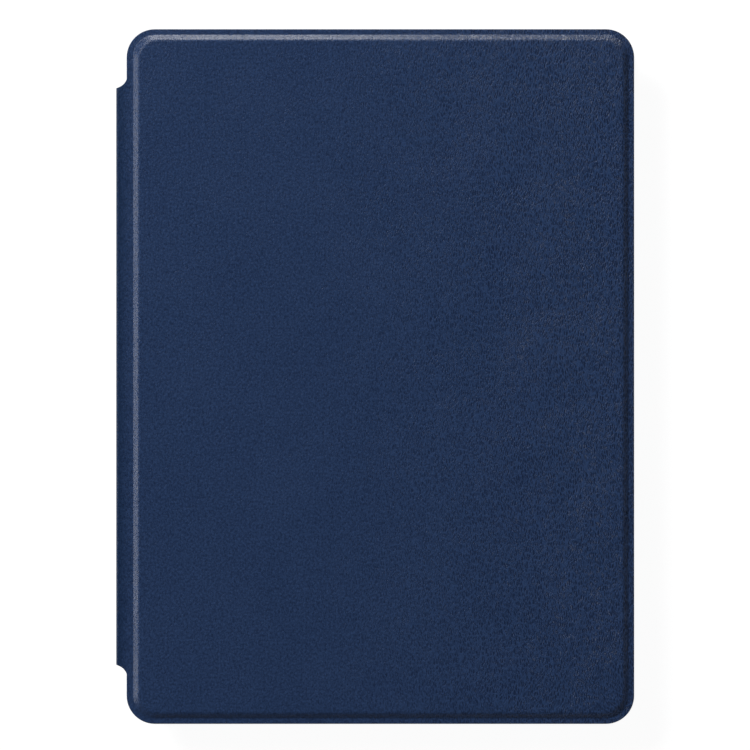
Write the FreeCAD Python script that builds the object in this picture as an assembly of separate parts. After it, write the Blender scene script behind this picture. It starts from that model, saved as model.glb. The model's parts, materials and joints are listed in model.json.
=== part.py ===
"""Tablet keyboard case, closed and lying on its back cover, in millimetres.

Frame: origin at the centre of the back cover's footprint, on the face the case rests on. +X runs away from
the spine, +Y along the spine, +Z up out of the front cover. Opened like a laptop, the keyboard's far edge is the
one by the spine, so the keys are laid out from +Y (left) to -Y (right) and face -Z while the case is closed.
"""
import FreeCAD, Part
import math
import os

V = FreeCAD.Vector
UP = V(0, 0, 1)

# The tablet the case is made for
TABLET_X, TABLET_Y, TABLET_Z = 178.5, 247.6, 5.9

# Cover outline
COVER_X, COVER_Y, COVER_R = 188.5, 258.0, 10.5
SPINE_BULGE = 3.9           # how far the spine stands out past the cover's edge
SPINE_HALF = 107.2          # half the spine's length
NOTCH_RISE = 3.2            # length of the concave notch at each end of the spine
NOTCH_BELLY = (0.29, 0.56)  # a point of the notch's arc, as shares of the bulge and of the notch's length
STIFFENER = 1.0             # stiff sheet inside the spine
STIFFENER_SHORT = 1.0       # the stiffener and the lining stop short of the leather's ends

# Sheet thicknesses
SKIN = 0.8                  # leather
LINING = 0.4                # microfibre
BOARD = 1.5                 # stiff board, and so the rise of every raised panel
ADHESIVE = 0.1

# Raised panels: a board under the leather, with leather and lining fused round it
FLANGE = 2.2                # fused flange along the cover's edge
INNER_FLANGE = 0.9          # the same along the flap's crease and free edge
BEVEL = 2.5                 # width of the bevel, seen from above
BEVEL_TURN = 1.2            # how much tighter a panel's corner is at the top of the bevel
SMALL_R = 2.5               # corners at the flap's crease

# Tray
TRAY_BASE, TRAY_WALL, TRAY_LIP, LIP_REACH = 1.2, 1.5, 0.5, 0.8
TRAY_LINING = 0.2
TABLET_GAP = 0.2            # round the tablet's edge
BAY_CLEAR = 0.05            # over and under the tablet
TABLET_R = 11.0
CAMERA_X, CAMERA_Y, CAMERA_SIDE, CAMERA_R = 73.0, 107.5, 28.0, 8.0
TRIM_WALL, TRIM_RIM = 0.9, 2.0
SPEAKER_X, SPEAKER_WIDE = 52.0, 26.0        # openings in both end walls
PORT_X = (-7.0, 7.0)                        # opening in the -Y end wall
POWER_X = (72.0, 84.0)                      # opening in the +Y end wall
VOLUME_Y = (86.0, 108.0)                    # opening in the +X wall
STYLUS_Y = (-72.0, 72.0)                    # gap in the +X wall, open at the top

# Keyboard
DECK_X, DECK_Y, DECK_R = 176.0, 247.0, 9.0
DECK_PLATE, DECK_WALL = 1.0, 1.2
CAVITY = 3.3                # height of the space between deck plate and base
BASE_PLATE = 0.9
BASE_RIM = 0.7              # the base's wall, up to the parting line
BUMPER_RISE = 1.3           # bumpers stand this far out of the deck
KEY_STAND = 0.8             # keycaps stand this far out of the deck
KEY_TRAVEL = 1.0
KEY_TALL, KEY_TOP = 1.3, 0.6
KEY_PITCH, FUNCTION_PITCH = 16.6, 10.4
KEY_GAP = 1.5               # between neighbouring caps
KEY_CLEAR = 0.35            # between a cap and its opening in the deck
KEY_R = 1.6
KEYS_START_X = -82.0        # far edge of the function row, towards the spine
ROW_UNITS = 14.5
MEMBRANE, SUPPORT = 0.2, 0.4
SHEET_CLEAR = 0.1           # between a pressed cap and the membrane
TOUCHPAD_X, TOUCHPAD_Y, TOUCHPAD_R = 60.0, 104.0, 4.0
TOUCHPAD_MID_X = 51.0
TOUCHPAD_GAP = 0.35
SCREW_R, BOSS_R = 0.8, 2.0
SINK_R, SINK_DEEP = 1.7, 0.6                # counterbores of the case screws
LIGHT_R = 0.6
SOCKET_X, SOCKET_WIDE, SOCKET_TALL, SOCKET_DEEP = 18.0, 8.94, 3.16, 7.3
SWITCH_X, SWITCH_LONG, SWITCH_TALL, SWITCH_TRAVEL = -71.0, 4.0, 1.6, 2.0
SWITCH_PROUD = 0.8
BATTERY_X, BATTERY_Y = 52.0, 54.0
BATTERY_MID_Y = TOUCHPAD_Y / 2 + 4.0 + BATTERY_Y / 2
BOARD_MID_X, BOARD_WIDE, BOARD_LONG, BOARD_MID_Y = -9.0, 30.0, 122.0, 53.0
CHIPS = [(-12.0, 24.0, 7.0, 7.0), (-14.0, 44.0, 5.0, 5.0), (-4.0, 56.0, 3.0, 6.0), (-12.0, 88.0, 4.0, 8.0)]
LEAD_Y, LEAD_R, LEAD_PITCH = 70.0, 0.4, 1.3

# Kickstand flap
PIVOT_X = 6.0
HALF_GAP = 1.3              # between the hinge axis and the panels on each side of it
FLAP_EDGE_X = -85.5         # free edge of the flap
FLAP_EDGE_R = 4.0
STRIP_EDGE_X = -86.5        # edge of the strip that stays on the spine's side
HINGE_Y, HINGE_LONG, LEAF_WIDE = 70.0, 24.0, 16.0
BARREL_R, PIN_R, PIN_CLEAR = 0.95, 0.5, 0.03
LEAF = LINING               # a leaf lies in a cut-out of the lining
KNUCKLE_GAP = 0.2
LEAF_SCREWS = ((7.0, -8.0), (7.0, 8.0), (12.0, 0.0))    # from the hinge axis and the hinge's middle
LEAF_UNDER_HEAD = 0.15      # what is left of a moving leaf under its countersunk heads
HEAD_R, HEAD_TALL = 1.3, 0.5
SHANK_R, SCREW_BORE_R = 0.7, 0.75

# Magnets: bars in the front shell hold the case shut, discs in tray and flap hold the flap in
MAGNET_X, MAGNET_Y, MAGNET_Z = 5.0, 20.0, 0.8
DISC_R, DISC_Z = 4.0, 0.8

# Creases of the spine
CREASE_X = -COVER_X / 2 - SPINE_BULGE + SKIN / 2
CREASE_GAP = 0.75           # leather left out on each side of a crease's axis

# Heights, from the resting face up
BACK_FLANGE_Z = BOARD                       # outer face of the back's flange
BACK_LINING_Z = BACK_FLANGE_Z + SKIN
ADHESIVE_Z = BACK_LINING_Z + LINING
TRAY_Z = ADHESIVE_Z + ADHESIVE
TRAY_LINING_Z = TRAY_Z + TRAY_BASE
BAY_Z = TRAY_LINING_Z + TRAY_LINING + BAY_CLEAR
LIP_Z = BAY_Z + TABLET_Z + BAY_CLEAR
TRAY_TOP_Z = LIP_Z + TRAY_LIP
BUMPER_Z = TRAY_TOP_Z + 0.1
DECK_Z = BUMPER_Z + BUMPER_RISE
KEY_Z = DECK_Z - KEY_STAND
CAVITY_Z = DECK_Z + DECK_PLATE
BASE_Z = CAVITY_Z + CAVITY
FRONT_LINING_Z = BASE_Z + BASE_PLATE
FRONT_SKIN_Z = FRONT_LINING_Z + LINING      # inner face of the front's flange
PARTING_Z = BASE_Z - BASE_RIM
MEMBRANE_Z = KEY_Z + KEY_TALL + KEY_TRAVEL + SHEET_CLEAR
SUPPORT_Z = MEMBRANE_Z + MEMBRANE
PIVOT_Z = ADHESIVE_Z - BARREL_R
LOWER_CREASE_Z = BACK_LINING_Z - SKIN / 2
UPPER_CREASE_Z = FRONT_SKIN_Z + SKIN / 2
SCREW_END_Z = TRAY_Z + 0.8
SOCKET_Z = CAVITY_Z + CAVITY / 2

# Places in the plane of the cover
EDGE_X, EDGE_Y = COVER_X / 2, COVER_Y / 2
KEYS_END_X = KEYS_START_X + FUNCTION_PITCH + 5 * KEY_PITCH
MAGNET_PLACES = [(EDGE_X - 9.0, y) for y in (-90.0, -45.0, 45.0, 90.0)]
DISC_PLACES = [(FLAP_EDGE_X + 9.0, y) for y in (-60.0, -20.0, 20.0, 60.0)]
BOSS_PLACES = [(x, y) for x in (KEYS_END_X + 3.5, 84.0) for y in (-96.0, -40.0, 40.0, 96.0)]
LIGHT_PLACES = [(KEYS_START_X - 2.6, -108.0 - 4.0 * i) for i in range(3)]


# ---------------------------------------------------------------- helpers
def outline(x0, x1, y0, y1, r0, r1, z):
    """Closed outline of a rectangle at height z, with corner radius r0 on its x0 side and r1 on its x1 side."""
    left, right = x0 + r0, x1 - r1
    corners = [(right, y1 - r1, r1), (left, y1 - r0, r0), (left, y0 + r0, r0), (right, y0 + r1, r1)]
    edges = []
    for i, (cx, cy, radius) in enumerate(corners):
        start = 90 * i
        edges.append(Part.makeCircle(radius, V(cx, cy, z), UP, start, start + 90))
        nx, ny, next_radius = corners[(i + 1) % 4]
        turn = math.radians(start + 90)
        out = V(math.cos(turn), math.sin(turn), 0)
        edges.append(Part.makeLine(V(cx, cy, z) + out * radius, V(nx, ny, z) + out * next_radius))
    return Part.Wire(edges)


def rounded_wire(size_x, size_y, radius, z, x=0.0, y=0.0):
    """Closed outline of a rectangle with round corners, centred on (x, y) at height z."""
    hx, hy = size_x / 2, size_y / 2
    return outline(x - hx, x + hx, y - hy, y + hy, radius, radius, z)


def rounded_slab(size_x, size_y, radius, z0, z1, x=0.0, y=0.0):
    """Upright prism over a rounded rectangle."""
    return Part.Face(rounded_wire(size_x, size_y, radius, z0, x, y)).extrude(V(0, 0, z1 - z0))


def slab(x0, x1, y0, y1, z0, z1):
    """Plain box between two corners."""
    return Part.makeBox(x1 - x0, y1 - y0, z1 - z0, V(x0, y0, z0))


def tube_up(radius, z0, z1, x, y):
    """Upright cylinder."""
    return Part.makeCylinder(radius, z1 - z0, V(x, y, z0), UP)


def rod_y(radius, y0, y1, x, z):
    """Cylinder along Y."""
    return Part.makeCylinder(radius, y1 - y0, V(x, y0, z), V(0, 1, 0))


def perforated(outer, holes, thickness):
    """Sheet over an outline with holes, all wires at the same height, raised by its thickness."""
    return Part.makeFace([outer] + holes, "Part::FaceMakerBullseye").extrude(V(0, 0, thickness))


def cut_all(body, tools):
    """Body with every tool taken out of it."""
    return body.cut(Part.makeCompound(tools)) if tools else body


def group(solids):
    """Several separate solids as one node."""
    return Part.makeCompound(solids)


def sides(value):
    """The two mirrored places of a value."""
    return (-value, value)


# ---------------------------------------------------------------- cover panels
# A panel is (x0, x1, half length along Y, corner radius at x0, corner radius at x1, flange at x0, flange at x1).
FRONT = (-EDGE_X, EDGE_X, EDGE_Y, COVER_R, COVER_R, FLANGE, FLANGE)
BACK = (PIVOT_X + HALF_GAP, EDGE_X, EDGE_Y, SMALL_R, COVER_R, INNER_FLANGE, FLANGE)
FLAP = (FLAP_EDGE_X, PIVOT_X - HALF_GAP, EDGE_Y, FLAP_EDGE_R, SMALL_R, INNER_FLANGE, INNER_FLANGE)
OUTWARD, INWARD = 1, -1     # a panel's rise, along +Z or -Z


def flat_panel(panel, z0, z1):
    """Flat sheet over a panel's whole outline."""
    x0, x1, half_y, r0, r1, _, _ = panel
    return Part.Face(outline(x0, x1, -half_y, half_y, r0, r1, z0)).extrude(V(0, 0, z1 - z0))


def raised_form(panel, z_foot, rise_way):
    """Bevelled body of a panel, from the foot of its bevel at z_foot to its face one board further out."""
    x0, x1, half_y, r0, r1, flange0, flange1 = panel
    foot_r0, foot_r1 = r0 - flange0, r1 - flange1
    foot = outline(x0 + flange0, x1 - flange1, FLANGE - half_y, half_y - FLANGE, foot_r0, foot_r1, z_foot)
    inset = FLANGE + BEVEL
    top_r0, top_r1 = (max(0.4, r - BEVEL_TURN) for r in (foot_r0, foot_r1))
    top = outline(x0 + flange0 + BEVEL, x1 - flange1 - BEVEL, inset - half_y, half_y - inset,
                  top_r0, top_r1, z_foot + rise_way * BOARD)
    return Part.makeLoft([foot, top], True, True)


def panel_skin(panel, z_inner, rise_way):
    """Leather over a panel: flange, bevel and raised face, hollow where the board lies."""
    z_outer = z_inner + rise_way * SKIN
    flange = flat_panel(panel, min(z_inner, z_outer), max(z_inner, z_outer))
    return flange.fuse(raised_form(panel, z_outer, rise_way)).cut(raised_form(panel, z_inner, rise_way))


def spine_tab(z0, z1):
    """Leather between the cover's edge and the crease, with a concave notch at each end."""
    inner_x = 1.0 - EDGE_X
    outer_x = -EDGE_X - SPINE_BULGE
    end_y = SPINE_HALF + NOTCH_RISE
    belly_x, belly_y = -EDGE_X - NOTCH_BELLY[0] * SPINE_BULGE, end_y - NOTCH_BELLY[1] * NOTCH_RISE
    top = Part.Arc(V(-EDGE_X, end_y, z0), V(belly_x, belly_y, z0), V(outer_x, SPINE_HALF, z0)).toShape()
    low = Part.Arc(V(-EDGE_X, -end_y, z0), V(belly_x, -belly_y, z0), V(outer_x, -SPINE_HALF, z0)).toShape()
    outer = Part.makeLine(V(outer_x, SPINE_HALF, z0), V(outer_x, -SPINE_HALF, z0))
    back = Part.makePolygon([V(-EDGE_X, -end_y, z0), V(inner_x, -end_y, z0),
                             V(inner_x, end_y, z0), V(-EDGE_X, end_y, z0)])
    wire = Part.Wire(Part.__sortEdges__([top, outer, low] + back.Edges))
    tab = Part.Face(wire).extrude(V(0, 0, z1 - z0))
    return tab.common(slab(CREASE_X + CREASE_GAP, inner_x, -end_y, end_y, z0, z1))


def front_skin():
    """Leather of the front cover, with the tab that runs to the spine's crease."""
    skin = panel_skin(FRONT, FRONT_SKIN_Z, OUTWARD)
    return skin.fuse(spine_tab(FRONT_SKIN_Z, FRONT_SKIN_Z + SKIN)).removeSplitter()


def front_magnet(x, y, shrink):
    """Flat bar magnet in the front shell, open towards the lining, or its pocket when shrink is 0."""
    return slab(x - MAGNET_X / 2 + shrink, x + MAGNET_X / 2 - shrink,
                y - MAGNET_Y / 2 + shrink, y + MAGNET_Y / 2 - shrink,
                FRONT_SKIN_Z, FRONT_SKIN_Z + MAGNET_Z - shrink)


def front_shell():
    """Stiff board that fills the raised panel, with pockets for the closing magnets."""
    board = raised_form(FRONT, FRONT_SKIN_Z, OUTWARD)
    return cut_all(board, [front_magnet(x, y, 0.0) for x, y in MAGNET_PLACES])


def front_magnets():
    """Magnets that hold the case shut."""
    return group([front_magnet(x, y, 0.05) for x, y in MAGNET_PLACES])


def front_lining():
    """Microfibre sheet on the inside of the front cover."""
    return flat_panel(FRONT, FRONT_LINING_Z, FRONT_SKIN_Z)


# ---------------------------------------------------------------- spine
def spine_sheet(thickness, x_outer, shorter):
    """Upright sheet of the spine, shorter than its leather at every end."""
    z0 = LOWER_CREASE_Z + CREASE_GAP + shorter
    z1 = UPPER_CREASE_Z - CREASE_GAP - shorter
    half_y = SPINE_HALF - shorter
    return slab(x_outer, x_outer + thickness, -half_y, half_y, z0, z1)


def spine_parts():
    """Leather, stiffener and lining of the spine, from the outside in."""
    outer_x = -EDGE_X - SPINE_BULGE
    return {
        "spine_skin": spine_sheet(SKIN, outer_x, 0.0),
        "spine_stiffener": spine_sheet(STIFFENER, outer_x + SKIN, STIFFENER_SHORT),
        "spine_lining": spine_sheet(LINING, outer_x + SKIN + STIFFENER, STIFFENER_SHORT),
    }


# ---------------------------------------------------------------- back cover
def camera_block(grow, z0, z1):
    """Rounded square prism over the camera opening, grown on every side."""
    side = CAMERA_SIDE + 2 * grow
    return rounded_slab(side, side, CAMERA_R + grow, z0, z1, CAMERA_X, CAMERA_Y)


def back_skin():
    """Leather of the fixed half of the back cover."""
    return panel_skin(BACK, BACK_LINING_Z, INWARD).cut(camera_block(TRIM_RIM, 0, SKIN))


def leaf_pockets(side, z0, z1):
    """Room for the hinge leaves of one side: +1 for the tray's, -1 for the flap's."""
    ends = sorted((PIVOT_X, PIVOT_X + side * (LEAF_WIDE + 0.1)))
    half = HINGE_LONG / 2 + 0.1
    return [slab(ends[0], ends[1], y - half, y + half, z0, z1) for y in sides(HINGE_Y)]


def leaf_screws(side):
    """Screw places on the leaves of one side."""
    return [(PIVOT_X + side * x, y + dy) for y in sides(HINGE_Y) for x, dy in LEAF_SCREWS]


def back_board():
    """Board of the fixed half of the back cover, with room for the heads of the hinge screws."""
    board = raised_form(BACK, BACK_LINING_Z, INWARD).cut(camera_block(TRIM_WALL, 0, BACK_LINING_Z))
    low = BACK_LINING_Z - HEAD_TALL - 0.1
    return cut_all(board, [tube_up(HEAD_R + 0.1, low, BACK_LINING_Z, x, y) for x, y in leaf_screws(1)])


def strip_sheet(z0, z1):
    """Flat strip between the cover's spine edge and the flap's free edge."""
    return flat_panel(FRONT, z0, z1).common(slab(-EDGE_X, STRIP_EDGE_X, -EDGE_Y, EDGE_Y, z0, z1))


def back_lining():
    """Microfibre sheets of the fixed half of the back cover and of the strip."""
    sheet = flat_panel(BACK, BACK_LINING_Z, ADHESIVE_Z)
    tools = [camera_block(TRIM_WALL, 0, TRAY_Z)] + leaf_pockets(1, BACK_LINING_Z, ADHESIVE_Z)
    return group([cut_all(sheet, tools), strip_sheet(BACK_LINING_Z, ADHESIVE_Z)])


def strip_skin():
    """Leather of the strip, with the tab that runs to the spine's crease."""
    strip = strip_sheet(BACK_FLANGE_Z, BACK_LINING_Z)
    return strip.fuse(spine_tab(BACK_FLANGE_Z, BACK_LINING_Z)).removeSplitter()


def tray_adhesive():
    """Adhesive sheets between the tray and the linings under it."""
    size_x, size_y, radius = tray_outline(-1.0)
    sheet = rounded_slab(size_x, size_y, radius, ADHESIVE_Z, TRAY_Z)
    sheet = sheet.cut(camera_block(TRIM_WALL, ADHESIVE_Z, TRAY_Z))
    fixed = sheet.common(slab(PIVOT_X + LEAF_WIDE + 2.0, EDGE_X, -EDGE_Y, EDGE_Y, ADHESIVE_Z, TRAY_Z))
    strip = sheet.common(slab(-EDGE_X, STRIP_EDGE_X - 0.5, -EDGE_Y, EDGE_Y, ADHESIVE_Z, TRAY_Z))
    return group([fixed, strip])


def camera_trim():
    """Ring that lines the camera opening and caps the leather's edge."""
    rim = camera_block(TRIM_RIM - 0.05, 0, SKIN)
    wall = camera_block(TRIM_WALL - 0.05, SKIN, TRAY_LINING_Z)
    return rim.fuse(wall).cut(camera_block(0, 0, TRAY_LINING_Z)).removeSplitter()


# ---------------------------------------------------------------- tray
def tray_outline(grow):
    """Size and corner radius of the tray's outside, grown on every side."""
    edge = TABLET_GAP + TRAY_WALL + grow
    return TABLET_X + 2 * edge, TABLET_Y + 2 * edge, TABLET_R + edge


def bay_block(shrink, z0, z1):
    """Prism over the tablet's outline with its gap, shrunk on every side."""
    edge = 2 * (TABLET_GAP - shrink)
    return rounded_slab(TABLET_X + edge, TABLET_Y + edge, TABLET_R + edge / 2, z0, z1)


def tray_ports():
    """Openings in the tray's wall for speakers, port, power, volume and stylus."""
    end_y, side_x = TABLET_Y / 2, TABLET_X / 2
    low, high = BAY_Z + 1.1, BAY_Z + TABLET_Z - 1.0
    tools = []
    for y0, y1 in ((end_y - 2, end_y + 6), (-end_y - 6, 2 - end_y)):
        for x in sides(SPEAKER_X):
            tools.append(slab(x - SPEAKER_WIDE / 2, x + SPEAKER_WIDE / 2, y0, y1, low, high))
    tools.append(slab(PORT_X[0], PORT_X[1], -end_y - 6, 2 - end_y, low, high))
    tools.append(slab(POWER_X[0], POWER_X[1], end_y - 2, end_y + 6, low, high))
    tools.append(slab(side_x - 2, side_x + 6, VOLUME_Y[0], VOLUME_Y[1], low, high))
    tools.append(slab(side_x - 2, side_x + 6, STYLUS_Y[0], STYLUS_Y[1], low, TRAY_TOP_Z + 1))
    return tools


def tray_base():
    """Hard plate under the tablet, with pockets for the magnets and bores for the hinge screws."""
    size_x, size_y, radius = tray_outline(0)
    plate = rounded_slab(size_x, size_y, radius, TRAY_Z, TRAY_LINING_Z)
    plate = plate.cut(camera_block(TRIM_WALL, TRAY_Z, TRAY_LINING_Z))
    pockets = [tube_up(DISC_R, TRAY_Z, TRAY_Z + DISC_Z, x, y) for x, y in DISC_PLACES]
    holes = [tube_up(SCREW_BORE_R, TRAY_Z, SCREW_END_Z, x, y) for x, y in leaf_screws(1)]
    return cut_all(plate, pockets + holes)


def tray_frame():
    """Flexible frame moulded on the plate: a wall round the tablet and a lip over its edge."""
    size_x, size_y, radius = tray_outline(0)
    frame = rounded_slab(size_x, size_y, radius, TRAY_LINING_Z, TRAY_TOP_Z)
    frame = frame.cut(bay_block(0, TRAY_LINING_Z, LIP_Z))
    frame = frame.cut(bay_block(LIP_REACH + TABLET_GAP, LIP_Z, TRAY_TOP_Z))
    return cut_all(frame, tray_ports())


def tray_lining():
    """Microfibre sheet on the floor of the tray."""
    sheet = bay_block(TABLET_GAP + 1.0, TRAY_LINING_Z, TRAY_LINING_Z + TRAY_LINING)
    return sheet.cut(camera_block(TRIM_WALL, TRAY_LINING_Z, TRAY_LINING_Z + TRAY_LINING))


# ---------------------------------------------------------------- kickstand flap
def kickstand_skin():
    """Leather of the flap."""
    return panel_skin(FLAP, BACK_LINING_Z, INWARD)


def kickstand_board():
    """Board of the flap, with bores for its screws and pockets for the keeper plates."""
    board = raised_form(FLAP, BACK_LINING_Z, INWARD)
    pockets = [tube_up(DISC_R, BACK_LINING_Z - DISC_Z, BACK_LINING_Z, x, y) for x, y in DISC_PLACES]
    bores = [tube_up(SCREW_BORE_R, SKIN + 0.2, BACK_LINING_Z, x, y) for x, y in leaf_screws(-1)]
    return cut_all(board, pockets + bores)


def kickstand_lining():
    """Microfibre sheet on the flap's inner face, cut out round the leaves."""
    return cut_all(flat_panel(FLAP, BACK_LINING_Z, ADHESIVE_Z), leaf_pockets(-1, BACK_LINING_Z, ADHESIVE_Z))


def kickstand_plates():
    """Steel discs in the flap that the tray's magnets hold on to."""
    top = BACK_LINING_Z
    return group([tube_up(DISC_R - 0.05, top - DISC_Z + 0.05, top, x, y) for x, y in DISC_PLACES])


def tray_magnets():
    """Disc magnets in the tray's base that hold the flap shut."""
    return group([tube_up(DISC_R - 0.05, TRAY_Z, TRAY_Z + DISC_Z - 0.05, x, y) for x, y in DISC_PLACES])


def knuckle_spans(y):
    """The three knuckles of one hinge along Y: fixed, moving, fixed."""
    third = (HINGE_LONG - 2 * KNUCKLE_GAP) / 3
    start = y - HINGE_LONG / 2
    return [(start + i * (third + KNUCKLE_GAP), start + i * (third + KNUCKLE_GAP) + third) for i in range(3)]


def leaf_with_knuckles(y, side, spans, bore_r):
    """Leaf level with the top of the barrel, joined to the knuckles at the given spans."""
    low = ADHESIVE_Z - LEAF
    near = PIVOT_X + side * (BARREL_R + 0.25)
    x0, x1 = sorted((near, PIVOT_X + side * LEAF_WIDE))
    leaf = slab(x0, x1, y - HINGE_LONG / 2, y + HINGE_LONG / 2, low, ADHESIVE_Z)
    n0, n1 = sorted((near, PIVOT_X))
    for y0, y1 in spans:
        leaf = leaf.fuse([slab(n0, n1, y0, y1, low, ADHESIVE_Z), rod_y(BARREL_R, y0, y1, PIVOT_X, PIVOT_Z)])
    leaf = leaf.cut(rod_y(bore_r, y - HINGE_LONG, y + HINGE_LONG, PIVOT_X, PIVOT_Z))
    return cut_all(leaf, [tube_up(SHANK_R + 0.05, low, ADHESIVE_Z, sx, sy) for sx, sy in leaf_screws(side)])


def hinge_leaves():
    """Leaves on the tray's side, with the two outer knuckles pressed on the pin."""
    return group([leaf_with_knuckles(y, 1, knuckle_spans(y)[::2], PIN_R) for y in sides(HINGE_Y)])


def kickstand_leaves():
    """Leaves on the flap's side, with the middle knuckle that turns on the pin, countersunk for their screws."""
    leaves = []
    seat = ADHESIVE_Z - LEAF + LEAF_UNDER_HEAD
    sinks = [tube_up(HEAD_R + 0.05, seat, ADHESIVE_Z, x, y) for x, y in leaf_screws(-1)]
    for y in sides(HINGE_Y):
        leaves.append(cut_all(leaf_with_knuckles(y, -1, knuckle_spans(y)[1:2], PIN_R + PIN_CLEAR), sinks))
    return group(leaves)


def hinge_pins():
    """One steel pin per hinge."""
    half = HINGE_LONG / 2
    return group([rod_y(PIN_R, y - half, y + half, PIVOT_X, PIVOT_Z) for y in sides(HINGE_Y)])


def screw(x, y, head_z0, head_z1, shank_end):
    """Flat-headed screw whose shank runs from the head's near face to shank_end."""
    head = tube_up(HEAD_R, head_z0, head_z1, x, y)
    z0, z1 = (head_z1, shank_end) if shank_end > head_z1 else (shank_end, head_z0)
    return head.fuse(tube_up(SHANK_R, z0, z1, x, y))


def hinge_screws():
    """Screws from the fixed leaves up into the tray's base."""
    low = BACK_LINING_Z - HEAD_TALL
    return group([screw(x, y, low, BACK_LINING_Z, SCREW_END_Z - 0.05) for x, y in leaf_screws(1)])


def kickstand_screws():
    """Screws from the moving leaves down into the flap's board."""
    seat = ADHESIVE_Z - LEAF + LEAF_UNDER_HEAD
    return group([screw(x, y, seat, ADHESIVE_Z, SKIN + 0.25) for x, y in leaf_screws(-1)])


# ---------------------------------------------------------------- key layout
# Each row, from the spine out: (name of the row's shared node, widths in units from left to right).
# A width may carry the name of a key that has a node of its own.
ROWS = [
    ("function_keys", [(1.25, "escape_key")] + [(1, None)] * 12 + [(1.25, None)]),
    ("number_keys", [(1, None)] * 13 + [(1.5, "backspace_key")]),
    ("top_letter_keys", [(1.5, "tab_key")] + [(1, None)] * 13),
    ("home_letter_keys", [(1.75, "caps_lock_key")] + [(1, None)] * 11 + [(1.75, "return_key")]),
    ("bottom_letter_keys", [(2.25, "left_shift_key")] + [(1, None)] * 10 + [(2.25, "right_shift_key")]),
    ("modifier_keys", [(1, None)] * 3 + [(1.25, None), (5, "space_bar"), (1.25, None), (1, None),
                                         (1, "arrow_left_key"), (1, "arrow_column"), (1, "arrow_right_key")]),
]


def key_places():
    """Every key as (node, centre x, centre y, size x, size y)."""
    keys = []
    x_far = KEYS_START_X
    for index, (row_node, widths) in enumerate(ROWS):
        pitch_x = FUNCTION_PITCH if index == 0 else KEY_PITCH
        y_left = ROW_UNITS * KEY_PITCH / 2
        mid_x, size_x = x_far + pitch_x / 2, pitch_x - KEY_GAP
        for units, own_node in widths:
            wide = units * KEY_PITCH
            mid_y, size_y = y_left - wide / 2, wide - KEY_GAP
            if own_node == "arrow_column":
                half_x = (size_x - KEY_GAP) / 2
                shift = (half_x + KEY_GAP) / 2
                keys.append(("arrow_up_key", mid_x - shift, mid_y, half_x, size_y))
                keys.append(("arrow_down_key", mid_x + shift, mid_y, half_x, size_y))
            else:
                keys.append((own_node or row_node, mid_x, mid_y, size_x, size_y))
            y_left -= wide
        x_far += pitch_x
    return keys


def keycap(x, y, size_x, size_y):
    """Keycap facing -Z: tapered sides, softened top edge, hollow on the inside."""
    taper = 0.25
    foot = rounded_wire(size_x, size_y, KEY_R, KEY_Z + KEY_TALL, x, y)
    face = rounded_wire(size_x - 2 * taper, size_y - 2 * taper, KEY_R - taper, KEY_Z, x, y)
    cap = Part.makeLoft([face, foot], True, True)
    rim = [e for e in cap.Edges if e.BoundBox.ZMax < KEY_Z + 0.01]
    cap = cap.makeFillet(0.3, rim)
    wall = 0.9
    inner_x, inner_y = size_x - 2 * wall, size_y - 2 * wall
    return cap.cut(rounded_slab(inner_x, inner_y, KEY_R - 0.8, KEY_Z + KEY_TOP, KEY_Z + KEY_TALL, x, y))


def key_nodes():
    """Keycaps gathered by node."""
    nodes = {}
    for node, x, y, size_x, size_y in key_places():
        nodes.setdefault(node, []).append(keycap(x, y, size_x, size_y))
    return {node: group(caps) for node, caps in nodes.items()}


def link_scale(size_x):
    """How much smaller the links and dome are under a short key."""
    return min(1.0, (size_x - 2.2) / 7.0)


def rubber_domes():
    """One silicone dome under each key, standing on the membrane."""
    domes = []
    for _, x, y, size_x, _ in key_places():
        scale = link_scale(size_x)
        foot_r, top_r = 1.9 * scale, 1.0 * scale
        tall = MEMBRANE_Z - (KEY_Z + KEY_TOP) - 0.05
        domes.append(Part.makeCone(foot_r, top_r, tall, V(x, y, MEMBRANE_Z), V(0, 0, -1)))
    return group(domes)


def link_frame(x, y, length, width, bar, tilt, z):
    """Rectangular frame of round-cornered bars, tilted about X through its middle."""
    outer = rounded_wire(width, length, 0.5, z, x, y)
    window = rounded_wire(width - 2 * bar, length - 2 * bar, 0.3, z, x, y)
    frame = perforated(outer, [window], bar * 0.7)
    frame.translate(V(0, 0, -bar * 0.35))
    frame.rotate(V(x, y, z), V(1, 0, 0), tilt)
    return frame


def scissor_links():
    """A crossed pair of link frames round each dome."""
    links = []
    low, high = KEY_Z + KEY_TOP, MEMBRANE_Z
    middle = (low + high) / 2
    for _, x, y, size_x, _ in key_places():
        scale = link_scale(size_x)
        length, bar = 9.0 * scale, 0.5 * scale
        tilt = math.degrees(math.asin((high - low - 3 * bar * 0.7) / length))
        links.append(link_frame(x, y, length, 7.0 * scale, bar, tilt, middle))
        links.append(link_frame(x, y, length, 5.6 * scale, bar, -tilt, middle))
    return group(links)


# ---------------------------------------------------------------- keyboard chassis
def touchpad_opening(z0, z1, grow):
    """Prism over the touchpad's outline, grown on every side."""
    wide, long = TOUCHPAD_X + 2 * grow, TOUCHPAD_Y + 2 * grow
    return rounded_slab(wide, long, TOUCHPAD_R + grow, z0, z1, TOUCHPAD_MID_X)


def deck_holes():
    """Outlines of the openings in the deck plate, for keys, touchpad and lights."""
    holes = []
    grow = 2 * KEY_CLEAR
    for _, x, y, size_x, size_y in key_places():
        holes.append(rounded_wire(size_x + grow, size_y + grow, KEY_R + KEY_CLEAR, DECK_Z, x, y))
    wide, long = TOUCHPAD_X + 2 * TOUCHPAD_GAP, TOUCHPAD_Y + 2 * TOUCHPAD_GAP
    holes.append(rounded_wire(wide, long, TOUCHPAD_R + TOUCHPAD_GAP, DECK_Z, TOUCHPAD_MID_X))
    holes += [Part.Wire(Part.makeCircle(LIGHT_R + 0.03, V(x, y, DECK_Z))) for x, y in LIGHT_PLACES]
    return holes


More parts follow.
